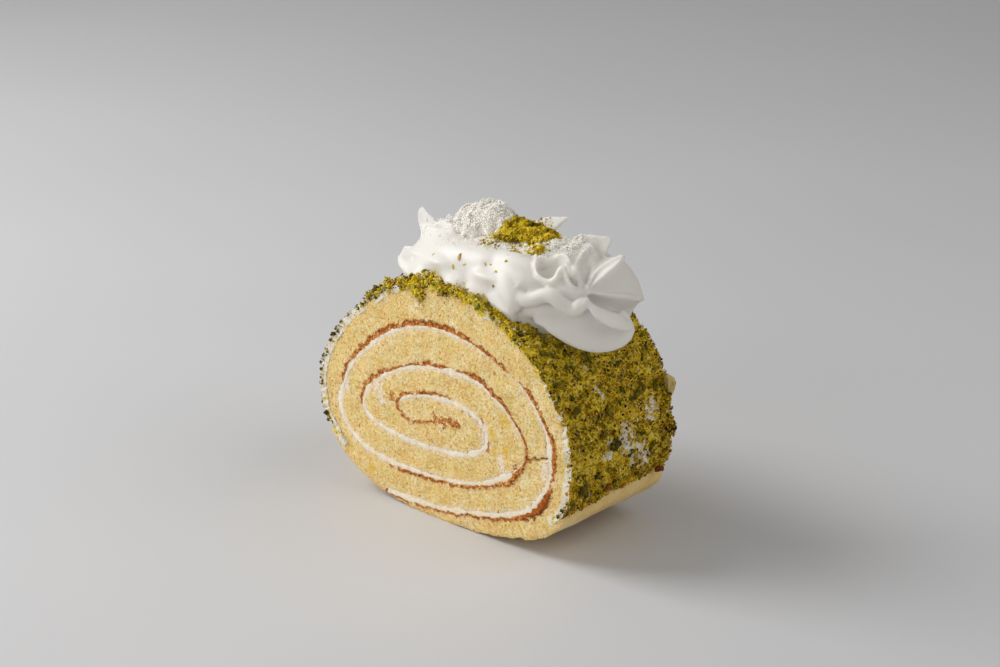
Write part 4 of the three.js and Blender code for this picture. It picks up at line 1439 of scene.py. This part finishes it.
def make_toppings(tree):
    flakes = chip_shapes(14, 17, points=8, flat=(0.15, 0.3), narrow=(0.3, 0.6))
    coconut, packed = coconut_material(), packed_coconut_material()
    for i, heap in enumerate(COCONUT_HEAPS):
        seed = COCONUT_SEED + SEEDS_PER_HEAP * i
        heap_core(f"coconut_heap_{i + 1}", tree, heap, seed, packed, "grated_coconut")
        places, normals = heap_places(tree, heap, seed)
        sizes = np.random.default_rng(seed).uniform(*FLAKE_SIZES, len(places))
        strew(f"coconut_flakes_{i + 1}", flakes, places, normals, sizes, coconut, "grated_coconut",
              seed, tilt=0.4)

    chips = chip_shapes(12, 6)
    crumb = crumb_material("pistachio_heap", HEAP_CHIPS, painted_light_on_top=0)
    packed = packed_pistachio_material()
    for i, heap in enumerate(PISTACHIO_HEAPS):
        seed = CHOPPED_SEED + SEEDS_PER_HEAP * i
        heap_core(f"pistachio_heap_{i + 1}", tree, heap, seed, packed, "pistachio_bits")
        places, normals = heap_places(tree, heap, seed)
        share = np.random.default_rng(seed).uniform(size=len(places)) ** 2
        sizes = lerp(*CHIP_SIZES, share)
        strew(f"pistachio_bits_{i + 1}", chips, places, normals, sizes, crumb, "pistachio_bits", seed)

    green = crumb_material("pistachio_bit", ((176, 160, 24), (222, 206, 70)))
    brown = crumb_material("brown_bit", ((190, 148, 84), (222, 190, 132)), painted_light_on_top=0)
    for name, bits, mat in (("green_bits", GREEN_BITS, green), ("brown_bits", BROWN_BITS, brown)):
        strew(name, chips, *bits_on_cream(tree, bits), mat, "pistachio_bits", BITS_SEED, tilt=0.2)


# ---------------------------------------------------------------- stage

FLOOR_HALF_SIZE = 3  # in metres

# Soft lamps, aimed at the slice: place and size in metres, power and colour.
LAMPS = {
    "window": ((-0.75, -0.4, 0.75), 0.6, 9.4, (1, 0.995, 0.985)),
    "fill": ((-0.1, -1.0, 0.3), 0.8, 2.9, (1, 0.99, 0.97)),
    "back": ((0.75, 0.35, 0.7), 0.9, 3.0, (1, 0.99, 0.97)),
}
AIMED_AT = (0, 0, 0.05)
ROOM_COLOR = (0.84, 0.825, 0.80, 1)
ROOM_STRENGTH = 0.26

CAMERA_AT = (474.19, -513.65, 317.61)
CAMERA_YAW = 42.678
CAMERA_DOWN = 20.416
CAMERA_LENS = 85
CAMERA_SENSOR = 36


def make_floor():
    bm = bmesh.new()
    bmesh.ops.create_grid(bm, x_segments=1, y_segments=1, size=FLOOR_HALF_SIZE)
    mesh = mesh_of("floor", bm)
    paint = Finish("floor_paint", 0.6, 0.3)
    paint.color(paint.ramp(paint.noise(300), (0.3, (206, 206, 208)), (0.7, (211, 211, 213))))
    mesh.materials.append(paint.material)
    add_object("floor", mesh)


def make_light():
    world = bpy.data.worlds.new("studio")
    world.use_nodes = True
    room = world.node_tree.nodes["Background"]
    room.inputs["Color"].default_value = ROOM_COLOR
    room.inputs["Strength"].default_value = ROOM_STRENGTH
    bpy.context.scene.world = world
    bpy.context.scene.view_settings.view_transform = "Standard"
    for name, (place, size, power, color) in LAMPS.items():
        light = bpy.data.lights.new(name, "AREA")
        light.size = size
        light.energy = power
        light.color = color
        lamp = add_object(name, light)
        lamp.location = place
        lamp.rotation_euler = (Vector(AIMED_AT) - lamp.location).to_track_quat("-Z", "Y").to_euler()


def make_camera():
    data = bpy.data.cameras.new("camera")
    data.lens = CAMERA_LENS
    data.sensor_width = CAMERA_SENSOR
    camera = add_object("camera", data)
    camera.location = Vector(CAMERA_AT) * MM
    camera.rotation_euler = (math.radians(90 - CAMERA_DOWN), 0, math.radians(CAMERA_YAW))
    bpy.context.scene.camera = camera


make_camera()
make_floor()
make_light()
make_sponge()
make_filling()
make_coat()
make_crumbs()
make_toppings(make_whipped_cream())
